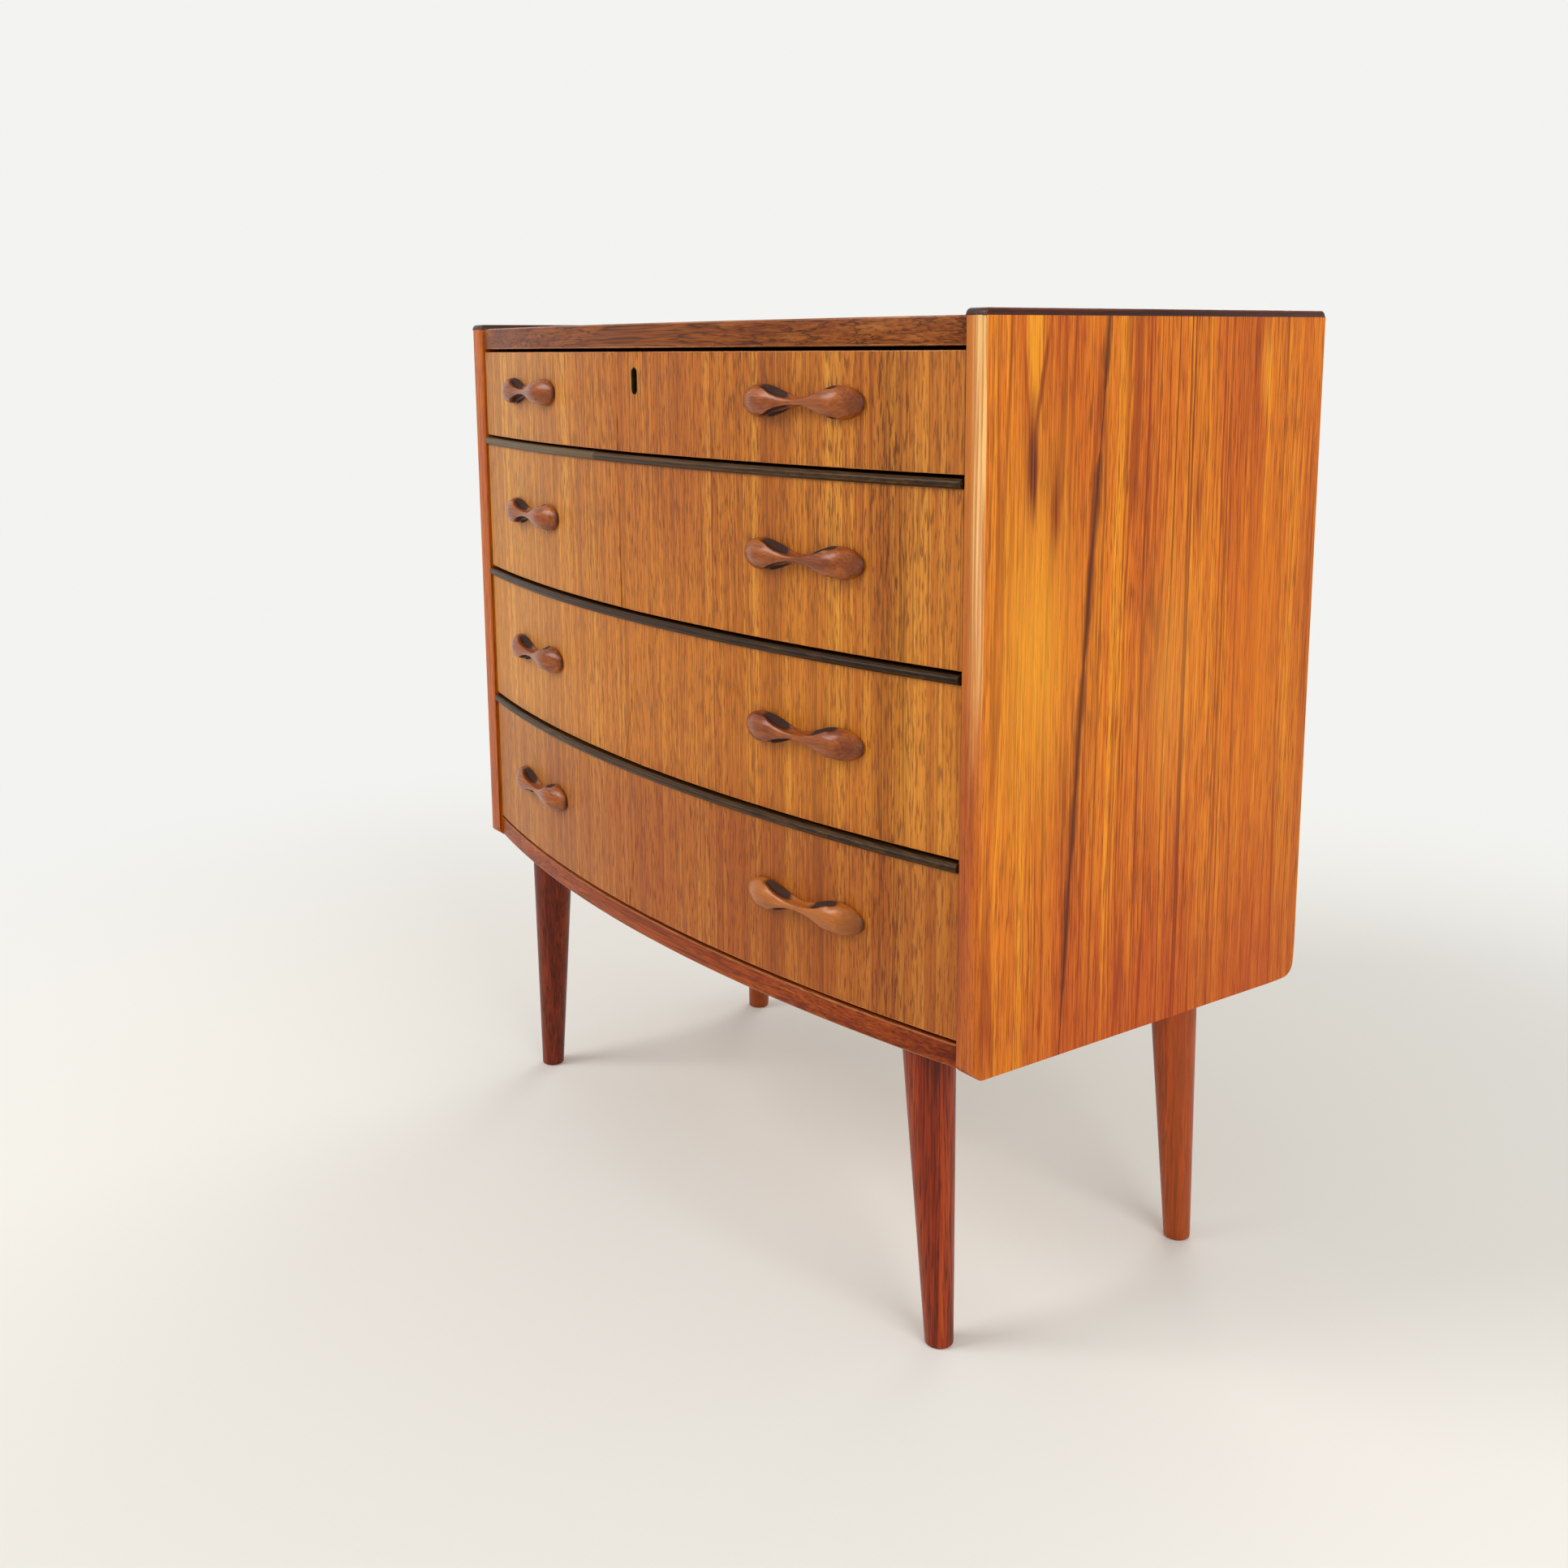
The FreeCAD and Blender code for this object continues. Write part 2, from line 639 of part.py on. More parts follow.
def leg_shape(sign):
    """A leg with the middle of its foot at the origin."""
    lean_in = base_z.number * math.tan(math.radians(size("leg_splay").number)) * sign
    rings = []
    for height, diameter, middle in ((0, size("leg_foot_dia").number, 0),
                                     (base_z.number, size("leg_top_dia").number, -lean_in)):
        spokes = [math.tau * flat / LEG_FLATS for flat in range(LEG_FLATS + 1)]
        rings.append([
            FreeCAD.Vector(middle + diameter / 2 * math.cos(turn), diameter / 2 * math.sin(turn), height)
            for turn in spokes
        ])
    low, high = rings
    faces = [Part.Face(Part.makePolygon(ring)) for ring in rings]
    for flat in range(LEG_FLATS):
        corners = [low[flat], low[flat + 1], high[flat + 1], high[flat], low[flat]]
        faces.append(Part.Face(Part.makePolygon(corners)))
    return Part.makeSolid(Part.makeShell(faces))


def make_legs():
    bolts = []
    bores = {"front": [], "rear": []}
    bolt_radius = size("bolt_dia") / 2
    bolt_foot = leg_length - size("bolt_in_leg")
    bolt_length = size("bolt_in_leg") + size("base_thick") - size("bolt_short")
    for end, side, x, y, sign in leg_spots:
        blank = doc.addObject("Part::Feature", "leg_blank")
        blank.Shape = leg_shape(sign)
        place(blank, x, y)
        bore = cylinder(bolt_radius + size("bolt_play"), bolt_length)
        lean(bore, x, y, sign, bolt_foot)
        keep(cut(f"leg_{end}_{side}", blank, [bore]))

        bolt = cylinder(bolt_radius, bolt_length)
        lean(bolt, x, y, sign, bolt_foot)
        bolts.append(bolt)
        seat = cylinder(bolt_radius + size("bolt_play"), bolt_length)
        lean(seat, x, y, sign, bolt_foot)
        bores[end].append(seat)
    keep(group("leg_bolts", bolts))
    return bores


def make_base(bores):
    rail = make_rail("base_rail_board", size("base_thick"), base_z)
    keep(cut("bottom_front_rail", rail, bores["front"]))
    panel = new_body("base_board")
    drawing = new_sketch(panel, "XY_Plane")
    rectangle(drawing, -inner_half, size("rail_depth"), inner_half, back_face)
    pad(panel, drawing, size("base_thick"))
    rabbet = new_sketch(panel, "XY_Plane", size("base_thick"))
    rectangle(rabbet, -inner_half, back_seat, inner_half, back_face + size("overcut"))
    pocket(panel, rabbet, size("back_lap"))
    place(panel, 0, case_y, base_z)
    keep(cut("bottom_panel", panel, bores["rear"]))


# Handles: carved from one block as a bow tie, shaped to its outline from the front, from above and from
# the end, where bevels run from the rim up to a narrower band. The foot follows the bow of the front.

handle_turn = Size(
    math.degrees(math.asin(handle_x.number / bow_radius.number)),
    f"(asin({handle_x.text} / {bow_radius.text}) / 1 deg)",
)
handle_turn = worked_out("handle_turn", handle_turn)


def hollow_radius(half_width, rise):
    """Radius of an arc that rises so much over its half width."""
    return (half_width * half_width + rise * rise) / (rise * 2)


def draw_front_view(sketch):
    neck, tip, neck_x = size("handle_neck") / 2, size("handle_tip") / 2, size("handle_neck_at")
    waist = hollow_radius(neck_x, neck - size("handle_waist") / 2)
    lobe = size("handle_lobe_round")
    outline(
        sketch,
        [(handle_end, -tip), (handle_end, tip), (neck_x, neck), (-neck_x, neck),
         (-handle_end, tip), (-handle_end, -tip), (-neck_x, -neck), (neck_x, -neck)],
        {1: (lobe, 1), 2: (waist, -1), 3: (lobe, 1), 5: (lobe, 1), 6: (waist, -1), 7: (lobe, 1)},
    )


def draw_top_view(sketch):
    neck_x, end_foot = size("handle_neck_at"), -across(handle_end, handle_foot)
    waist = hollow_radius(neck_x, -neck_y - handle_foot - size("handle_waist_proud"))
    crest = size("handle_crest_round")
    outline(
        sketch,
        [(handle_end, end_foot), (-handle_end, end_foot), (-handle_end, tip_y), (-neck_x, neck_y),
         (neck_x, neck_y), (handle_end, tip_y)],
        {0: (handle_foot, -1), 2: (crest, 1), 3: (waist, -1), 4: (crest, 1)},
    )


def draw_end_view(sketch):
    half = [
        (-handle_foot + size("handle_blank") / 2, size("handle_rim_height") / 2),
        (-handle_foot - size("handle_rim_proud"), size("handle_rim_height") / 2),
        (-handle_foot - size("handle_band_proud"), size("handle_band_height") / 2),
        (-handle_foot - size("handle_crown_proud"), size("handle_crown_height") / 2),
    ]
    outline(sketch, [(y, -z) for y, z in half] + list(reversed(half)))


def make_handle(label, z, sign):
    handle = new_body(label)
    blank = size("handle_blank")
    back, front = -handle_foot + blank, -handle_foot - size("handle_crown_proud") - blank
    side, top = handle_end + blank, size("handle_rim_height") / 2 + blank
    front_view = new_sketch(handle, "XZ_Plane", handle_foot - blank / 2)
    draw_front_view(front_view)
    pad(handle, front_view, size("handle_crown_proud") + blank)
    top_view = new_sketch(handle, "XY_Plane", -top)
    rectangle(top_view, -side, front, side, back)
    draw_top_view(top_view)
    pocket(handle, top_view, None, along_normal=True)
    end_view = new_sketch(handle, "YZ_Plane", -side)
    rectangle(end_view, front, -top, back, top)
    draw_end_view(end_view)
    pocket(handle, end_view, None, along_normal=True)
    place(handle, 0, bow_y, z, handle_turn * sign)
    keep(handle)


# Drawer fronts: bent board with a veneered face, sockets for the half-blind dovetails of the sides, an
# arched groove for the bottom and, in the top one, a bed for the lock.

box_inner_half = worked_out("box_inner_half", front_half - size("box_side_thick"))
ply_half = box_inner_half + size("ply_groove")
ply_radius = inner_radius + size("ply_groove")
ply_z = size("box_lift") + size("ply_lift")


def tails(front_height, count):
    """Middle, half height at the tip and half height at the shoulder of each tail, upwards."""
    pitch = (front_height - size("box_lift") - size("box_drop")) / count
    tip = (pitch - size("dovetail_pin")) / 2
    root = tip - (shoulder - tail_tip) / size("dovetail_slope")
    return [(size("box_lift") + pitch * (index + 0.5), tip, root) for index in range(count)]


def make_front(number, z, height, tail_count):
    front = new_body(f"drawer_{number}_front")
    drawing = new_sketch(front, "XY_Plane")
    bow_front_outline(drawing, bow_radius, inner_radius, front_half, size("front_land"), land_y)
    pad(front, drawing, height)

    sockets = new_sketch(front, "YZ_Plane", front_half)
    socket_end = end_y + size("dovetail_lap")
    past_land = land_y + size("overcut")
    for middle, tip, root in tails(height, tail_count):
        outline(
            sockets,
            [
                (socket_end, middle - tip),
                (land_y, middle - root),
                (past_land, middle - root),
                (past_land, middle + root),
                (land_y, middle + root),
                (socket_end, middle + tip),
            ],
        )
    socket_cut = pocket(front, sockets, size("box_side_thick"))
    mirrored(front, [socket_cut])

    groove = new_sketch(front, "XY_Plane", ply_z)
    bow_plate_outline(groove, ply_radius, ply_half, past_land)
    pocket(front, groove, size("ply_thick"), along_normal=True)
    if number == 1:
        recess = new_sketch(front, "XZ_Plane", -(lock_face + size("lock_thick")))
        half_lock = size("lock_width") / 2
        above = height + size("overcut")
        rectangle(recess, -half_lock, lock_top - size("lock_height"), half_lock, above)
        pocket(front, recess, size("lock_thick"), along_normal=True)
        keyhole = new_sketch(front, "XZ_Plane")
        wall = size("liner_wall") * 2
        slot(keyhole, sized(0), size("keyhole_rise"), size("keyhole_width") + wall,
             size("keyhole_height") + wall)
        pocket(front, keyhole, None, along_normal=True)
    place(front, 0, bow_y, z)
    keep(front)


def make_bead(number, z):
    bead = new_body(f"drawer_{number}_bead")
    drawing = new_sketch(bead, "XY_Plane")
    bow_front_outline(drawing, bow_radius + size("bead_proud"), inner_radius, front_half,
                      size("front_land"), land_y)
    strip = pad(bead, drawing, size("bead_height"))
    doc.recompute()
    nose = bead.newObject("PartDesign::Chamfer", "nose")
    nose.Base = (
        strip,
        [
            f"Edge{index}"
            for index, edge in enumerate(strip.Shape.Edges, start=1)
            if isinstance(edge.Curve, Part.Circle) and edge.Curve.Radius > bow_radius.number
        ],
    )
    nose.setExpression("Size", size("bead_chamfer").text)
    place(bead, 0, bow_y, z)
    keep(bead)


# Drawer boxes: dovetailed sides grooved for the runners and the bottom, a back in housings, and a thin
# bottom that runs under the back.

def make_box(number, z, front_height, tail_count):
    low, high = size("box_lift"), front_height - size("box_drop")
    back_foot = box_rear - size("box_back_inset")
    back_front = back_foot - size("box_back_thick")
    back_top = high - size("box_back_drop")
    ply_top = ply_z + size("ply_thick")
    past_rear = box_rear + size("overcut")
    for side, sign in SIDES:
        board = new_body(f"drawer_{number}_side_{side}")
        inner_face = box_inner_half * sign
        points = [(shoulder, low), (box_rear, low), (box_rear, high), (shoulder, high)]
        for middle, tip, root in reversed(tails(front_height, tail_count)):
            points += [(shoulder, middle + root), (tail_tip, middle + tip), (tail_tip, middle - tip),
                       (shoulder, middle - root)]
        drawing = new_sketch(board, "YZ_Plane", inner_face)
        outline(drawing, points)
        pad(board, drawing, size("box_side_thick"), backwards=sign < 0)
        channel = new_sketch(board, "YZ_Plane", front_half * sign)
        rectangle(
            channel,
            size("runner_front") - size("groove_ahead"),
            groove_in_side,
            past_rear,
            groove_in_side + size("runner_height") + size("runner_play") * 2,
        )
        depth = size("runner_thick") - size("end_gap") + size("runner_play")
        pocket(board, channel, depth, along_normal=sign < 0)
        groove = new_sketch(board, "YZ_Plane", inner_face)
        rectangle(groove, tail_tip - size("overcut"), ply_z, past_rear, ply_top)
        pocket(board, groove, size("ply_groove"), along_normal=sign > 0)
        housing = new_sketch(board, "YZ_Plane", inner_face)
        rectangle(housing, back_front, ply_top, back_foot, back_top)
        pocket(board, housing, size("box_back_housing"), along_normal=sign > 0)
        place(board, 0, case_y, z)
        keep(board)

    back = doc.addObject("Part::Box", f"drawer_{number}_back")
    back.Label = f"drawer_{number}_back"
    back_reach = box_inner_half + size("box_back_housing")
    back.setExpression("Length", (back_reach * 2).text)
    back.setExpression("Width", size("box_back_thick").text)
    back.setExpression("Height", (back_top - ply_top).text)
    place(back, -back_reach, case_y + back_front, z + ply_top)

    bottom = new_body(f"drawer_{number}_bottom")
    drawing = new_sketch(bottom, "XY_Plane")
    bow_plate_outline(drawing, ply_radius - size("ply_play"), ply_half - size("ply_play"),
                      back_foot - bow_in_case)
    pad(bottom, drawing, size("ply_thick"))
    place(bottom, 0, bow_y, z + ply_z)
    keep(back, bottom)


# Lock of the top drawer: a case let into the inner face, a bolt that slides up into the top rail, and a
# thin liner round the oblong keyhole.

def make_lock():
    half_lock = size("lock_width") / 2
    lock_back = lock_face + size("lock_thick")
    case = new_body("lock_case")
    drawing = new_sketch(case, "XZ_Plane", -lock_back)
    rectangle(drawing, -half_lock, lock_top - size("lock_height"), half_lock, lock_top)
    pad(case, drawing, size("lock_thick"))
    keyway = new_sketch(case, "XZ_Plane", -lock_face)
    slot(keyway, sized(0), size("keyhole_rise"), size("keyhole_width"), size("keyhole_height"))
    pocket(case, keyway, size("lock_bolt_in") - size("keyway_stop"))
    channel = new_sketch(case, "XY_Plane", lock_top)
    reach = size("lock_bolt_width") / 2 + size("lock_play")
    rectangle(channel, -reach, bolt_face - size("lock_play"),
              reach, bolt_face + size("lock_bolt_thick") + size("lock_play"))
    pocket(case, channel, size("lock_bolt_height") + size("lock_play"))
    place(case, 0, bow_y, top_drawer_z)

    bolt = doc.addObject("Part::Box", "lock_bolt")
    bolt.Label = "lock_bolt"
    bolt.setExpression("Length", size("lock_bolt_width").text)
    bolt.setExpression("Width", size("lock_bolt_thick").text)
    bolt.setExpression("Height", size("lock_bolt_height").text)
    place(bolt, -size("lock_bolt_width") / 2, bow_y + bolt_face,
          top_drawer_z + lock_top - size("lock_bolt_height"))

    liner = new_body("keyhole_liner")
    section = new_sketch(liner, "XZ_Plane", -lock_face)
    wall = size("liner_wall") * 2
    slot(section, sized(0), size("keyhole_rise"), size("keyhole_width") + wall,
         size("keyhole_height") + wall)
    slot(section, sized(0), size("keyhole_rise"), size("keyhole_width"), size("keyhole_height"))
    pad(liner, section, size("front_thick") - size("lock_sink"))
    place(liner, 0, bow_y, top_drawer_z)
    keep(case, bolt, liner)


# The whole chest

for side, sign in SIDES:
    make_side(side, sign)
    make_runners(side, sign)
make_back()
make_top()
make_base(make_legs())
for number, lower_edge, front_height, tail_count, handle_z in drawers:
    make_front(number, lower_edge, front_height, tail_count)
    make_box(number, lower_edge, front_height, tail_count)
    for side, sign in SIDES:
        make_handle(f"drawer_{number}_handle_{side}", lower_edge + handle_z, sign)
    if number > 1:
        make_bead(number, lower_edge + front_height)
make_lock()
doc.recompute()

# Nothing is written unless every object is sound and every pocket has cut something.

for item in doc.Objects:
    if {"Invalid", "Error"} & set(item.State):
        owner = item.getParentGeoFeatureGroup() or item
        raise RuntimeError(f"{item.Label} of {owner.Label} failed: {item.State}")
    if item.TypeId == "PartDesign::Pocket" and item.BaseFeature:
        if item.Shape.Volume >= item.BaseFeature.Shape.Volume:
            raise RuntimeError(f"{item.Label} of {item.getParentGeoFeatureGroup().Label} cuts nothing")
for node in nodes:
    if node.Shape.isNull() or not node.Shape.isValid():
        raise RuntimeError(f"{node.Label} has no valid shape")

os.makedirs("parts", exist_ok=True)
for node in nodes:
    node.Shape.exportStep(f"parts/{node.Label}.step")
print(f"{len(nodes)} nodes written")
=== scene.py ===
import math

import bpy
from mathutils import Matrix, Vector


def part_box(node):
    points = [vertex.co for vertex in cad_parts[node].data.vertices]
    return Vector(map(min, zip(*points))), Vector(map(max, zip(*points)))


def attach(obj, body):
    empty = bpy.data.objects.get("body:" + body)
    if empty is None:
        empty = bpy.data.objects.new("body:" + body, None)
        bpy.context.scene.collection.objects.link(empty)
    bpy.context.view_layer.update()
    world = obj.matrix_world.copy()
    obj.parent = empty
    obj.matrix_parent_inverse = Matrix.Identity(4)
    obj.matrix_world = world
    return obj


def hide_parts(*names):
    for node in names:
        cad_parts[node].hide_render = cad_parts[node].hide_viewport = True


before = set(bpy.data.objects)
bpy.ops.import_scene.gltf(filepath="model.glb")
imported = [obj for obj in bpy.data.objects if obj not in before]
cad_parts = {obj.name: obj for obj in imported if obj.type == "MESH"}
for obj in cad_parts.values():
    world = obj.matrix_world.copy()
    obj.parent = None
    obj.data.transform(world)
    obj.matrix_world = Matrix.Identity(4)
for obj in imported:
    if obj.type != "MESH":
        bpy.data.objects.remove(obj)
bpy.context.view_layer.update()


# Side panels: 20 mm boards faced with flat-sliced teak veneer, the figure upright.
# Sawn to size, rounded at the lower corners, sanded and oiled to a warm satin skin.


def linear(hex_colour):
    """An sRGB hex colour as the linear colour that a shader takes."""
    parts = [int(hex_colour[i:i + 2], 16) / 255 for i in (1, 3, 5)]
    return [p / 12.92 if p <= 0.04045 else ((p + 0.055) / 1.055) ** 2.4 for p in parts] + [1.0]


def add_node(tree, kind, settings=None, links=None):
    """One node with its settings, and with values or other nodes' outputs on its inputs."""
    node = tree.nodes.new(kind)
    for name, value in (settings or {}).items():
        if name == "stops":
            stops = node.color_ramp.elements
            stops[1].position = value[-1][0]
            stops[1].color = linear(value[-1][1])
            stops[0].position = value[0][0]
            stops[0].color = linear(value[0][1])
            for position, colour in value[1:-1]:
                stops.new(position).color = linear(colour)
        else:
            setattr(node, name, value)
    for name, value in (links or {}).items():
        if isinstance(value, bpy.types.NodeSocket):
            tree.links.new(value, node.inputs[name])
        else:
            node.inputs[name].default_value = value
    return node


def drawn_out(along, across, length):
    """Scale of a pattern that is so wide across the grain and so long along it, in metres."""
    return [1 / length if axis == along else 1 / across for axis in "XYZ"]


def wood(name, along, tones, ring=0.007, line=0.6, pore=0.65, pore_width=0.0013, pore_length=0.018,
         fibre_length=0.12, gloss=(0.4, 0.56), sway=0.006, bump=0.35, board=0.05, spread=1.0, contrast=0.8,
         leaf_edge=None, shine=0.25):
    """Sawn or sliced wood: broad tone, thin late-wood lines, fibres and open pores along the grain.
    Real pores are 0.3 mm wide; they are drawn three to five times as wide, to show at this distance."""
    material = bpy.data.materials.new(name)
    material.use_nodes = True
    tree = material.node_tree
    made = {"material": material, "tree": tree, "shader": tree.nodes["Principled BSDF"]}
    made["place"] = add_node(tree, "ShaderNodeTexCoord").outputs["Object"]
    cut_from = made["place"]
    if leaf_edge is not None:
        across_leaf = add_node(tree, "ShaderNodeSeparateXYZ", None, {0: cut_from})
        next_leaf = add_node(tree, "ShaderNodeMath", {"operation": "GREATER_THAN"},
                             {0: across_leaf.outputs[0], 1: leaf_edge})
        cut_from = add_node(tree, "ShaderNodeVectorMath", {"operation": "MULTIPLY_ADD"},
                            {0: next_leaf.outputs[0], 1: (0.31, 0.0, 0.47), 2: cut_from}).outputs[0]
    noise = {}

    def layer(key, place, across, length, detail):
        mapped = add_node(tree, "ShaderNodeMapping", None,
                          {"Vector": place, "Scale": drawn_out(along, across, length)})
        noise[key] = add_node(tree, "ShaderNodeTexNoise", None,
                              {"Vector": mapped.outputs[0], "Scale": 1.0, "Detail": detail}).outputs

    layer("sway", cut_from, 0.06, 0.4, 1.0)
    made["bent"] = add_node(tree, "ShaderNodeVectorMath", {"operation": "MULTIPLY_ADD"},
                            {0: noise["sway"]["Color"], 1: [sway] * 3, 2: cut_from}).outputs[0]
    layer("board", made["bent"], board, 0.6, 2.0)
    layer("ring", made["bent"], ring, 1.0, 3.0)
    layer("fibre", made["bent"], 0.0018, fibre_length, 3.0)
    layer("pore", made["bent"], pore_width, pore_length, 2.0)
    made["fibre"] = noise["fibre"][0]
    value = add_node(tree, "ShaderNodeMath", {"operation": "MULTIPLY_ADD"},
                     {0: noise["board"][0], 1: spread, 2: 0.5 - 0.5 * (spread + 2 * contrast)})
    for key in ("ring", "fibre"):
        value = add_node(tree, "ShaderNodeMath", {"operation": "MULTIPLY_ADD"},
                         {0: noise[key][0], 1: contrast, 2: value.outputs[0]})
    ramp = add_node(tree, "ShaderNodeValToRGB", {"stops": list(zip((0.05, 0.36, 0.62, 0.95), tones))},
                    {"Fac": value.outputs[0]})
    off_line = add_node(tree, "ShaderNodeMath", {"operation": "SUBTRACT"}, {0: noise["ring"][0], 1: 0.5})
    off_line = add_node(tree, "ShaderNodeMath", {"operation": "ABSOLUTE"}, {0: off_line.outputs[0]})
    lines = add_node(tree, "ShaderNodeMapRange", None,
                     {0: off_line.outputs[0], 1: 0.0, 2: 0.03, 3: line, 4: 0.0})
    lined = add_node(tree, "ShaderNodeMix", {"data_type": "RGBA"},
                     {0: lines.outputs[0], 6: ramp.outputs[0], 7: linear(tones[0])})
    pores = add_node(tree, "ShaderNodeMapRange", None,
                     {0: noise["pore"][0], 1: 0.5, 2: 0.64, 3: 0.0, 4: pore})
    pored = add_node(tree, "ShaderNodeMix", {"data_type": "RGBA"},
                     {0: pores.outputs[0], 6: lined.outputs[2], 7: linear(tones[0])})
    made["colour"] = pored.outputs[2]
    tree.links.new(made["colour"], made["shader"].inputs["Base Color"])
    rough = add_node(tree, "ShaderNodeMapRange", None,
                     {0: noise["fibre"][0], 1: 0.3, 2: 0.7, 3: gloss[0], 4: gloss[1]})
    made["rough"] = rough.outputs[0]
    tree.links.new(made["rough"], made["shader"].inputs["Roughness"])
    height = add_node(tree, "ShaderNodeMath", {"operation": "MULTIPLY_ADD"},
                      {0: pores.outputs[0], 1: -1.5, 2: noise["fibre"][0]})
    relief = add_node(tree, "ShaderNodeBump", None,
                      {"Strength": bump, "Distance": 0.0003, "Height": height.outputs[0]})
    tree.links.new(relief.outputs[0], made["shader"].inputs["Normal"])
    made["shader"].inputs["IOR"].default_value = 1.48
    made["shader"].inputs["Specular IOR Level"].default_value = shine
    return made


def tint(made, factor, colour):
    """Lays a colour over a wood where factor says, under whatever is laid on later."""
    mixed = add_node(made["tree"], "ShaderNodeMix", {"data_type": "RGBA"},
                     {0: factor, 6: made["colour"], 7: linear(colour)})
    made["colour"] = mixed.outputs[2]
    made["tree"].links.new(made["colour"], made["shader"].inputs["Base Color"])


def work_on(piece):
    """Selects one piece alone and opens it for editing."""
    bpy.ops.object.select_all(action="DESELECT")
    piece.select_set(True)
    bpy.context.view_layer.objects.active = piece
    bpy.ops.object.mode_set(mode="EDIT")


def eased_copy(node, material, worn, width, chosen, body, segments=3, upright_only=False):
    """A piece as the frame gives it, with its chosen sharp arrises rounded and rubbed."""
    piece = bpy.data.objects.new(node + "_eased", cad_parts[node].data.copy())
    bpy.context.scene.collection.objects.link(piece)
    piece.data.materials.clear()
    piece.data.materials.append(material)
    piece.data.materials.append(worn)
    work_on(piece)
    bpy.ops.mesh.select_mode(type="EDGE")
    bpy.ops.mesh.select_all(action="SELECT")
    bpy.ops.mesh.remove_doubles(threshold=0.00001)
    bpy.ops.mesh.dissolve_limited(angle_limit=math.radians(0.3))
    bpy.ops.mesh.select_all(action="DESELECT")
    bpy.ops.mesh.edges_select_sharp(sharpness=math.radians(30))
    bpy.ops.object.mode_set(mode="OBJECT")
    for face in piece.data.polygons:
        face.select = False
    for edge in piece.data.edges:
        first, last = (piece.data.vertices[i].co for i in edge.vertices)
        runs_up = abs(first.z - last.z) > 0.01 or not upright_only
        edge.select = edge.select and chosen(first) and chosen(last) and runs_up
    bpy.ops.object.mode_set(mode="EDIT")
    bpy.ops.mesh.bevel(offset=width, segments=segments, affect="EDGES", clamp_overlap=False, material=1)
    bpy.ops.object.mode_set(mode="OBJECT")
    bpy.ops.object.shade_smooth_by_angle(angle=math.radians(35))
    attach(piece, body)
    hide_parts(node)
    return piece


# Oiled teak veneer: golden to red-brown, dark thin lines, short open pores, a soft satin gloss.
side_teak = wood("oiled_teak_veneer_side", "Z", ("#661E04", "#C4601A", "#DA7E1C", "#EEA228"), ring=0.005,
                 line=0.45, pore=0.6, pore_width=0.001, pore_length=0.03, sway=0.009, spread=0.8,
                 contrast=0.65, shine=0.18)
# Late-wood lines run the whole height of the leaf, thin and dark, and crowd together in its middle.
front_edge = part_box("side_panel_right")[0].y
heart_at = add_node(side_teak["tree"], "ShaderNodeMapping", {"vector_type": "TEXTURE"},
                    {"Vector": side_teak["place"], "Location": (0.0, front_edge + 0.19, 0.5),
                     "Scale": (2.0, 0.12, 0.9)})
heart = add_node(side_teak["tree"], "ShaderNodeTexGradient", {"gradient_type": "QUADRATIC_SPHERE"},
                 {"Vector": heart_at.outputs[0]})
# Each set has its spacing in metres, and how strong it is away from the middle and in it.
late_sets = ((0.024, 0.6, 0.6), (0.009, 0.05, 0.95))
late_core = 0.00012
late_edge = 0.0005
for spacing, sparse, crowded in late_sets:
    late_run = add_node(side_teak["tree"], "ShaderNodeMapping", None,
                        {"Vector": side_teak["bent"], "Scale": drawn_out("Z", spacing, 1.6)})
    late = add_node(side_teak["tree"], "ShaderNodeTexNoise", None,
                    {"Vector": late_run.outputs[0], "Scale": 1.0, "Detail": 0.0})
    off_late = add_node(side_teak["tree"], "ShaderNodeMath", {"operation": "SUBTRACT"},
                        {0: late.outputs[0], 1: 0.5})
    off_late = add_node(side_teak["tree"], "ShaderNodeMath", {"operation": "ABSOLUTE"},
                        {0: off_late.outputs[0]})
    strength = add_node(side_teak["tree"], "ShaderNodeMapRange", None,
                        {0: heart.outputs[1], 1: 0.0, 2: 0.4, 3: sparse, 4: crowded})
    late_share = add_node(side_teak["tree"], "ShaderNodeMapRange", None,
                          {0: off_late.outputs[0], 1: late_core / spacing, 2: late_edge / spacing,
                           3: strength.outputs[0], 4: 0.0})
    tint(side_teak, late_share.outputs[0], "#7C2E0A")
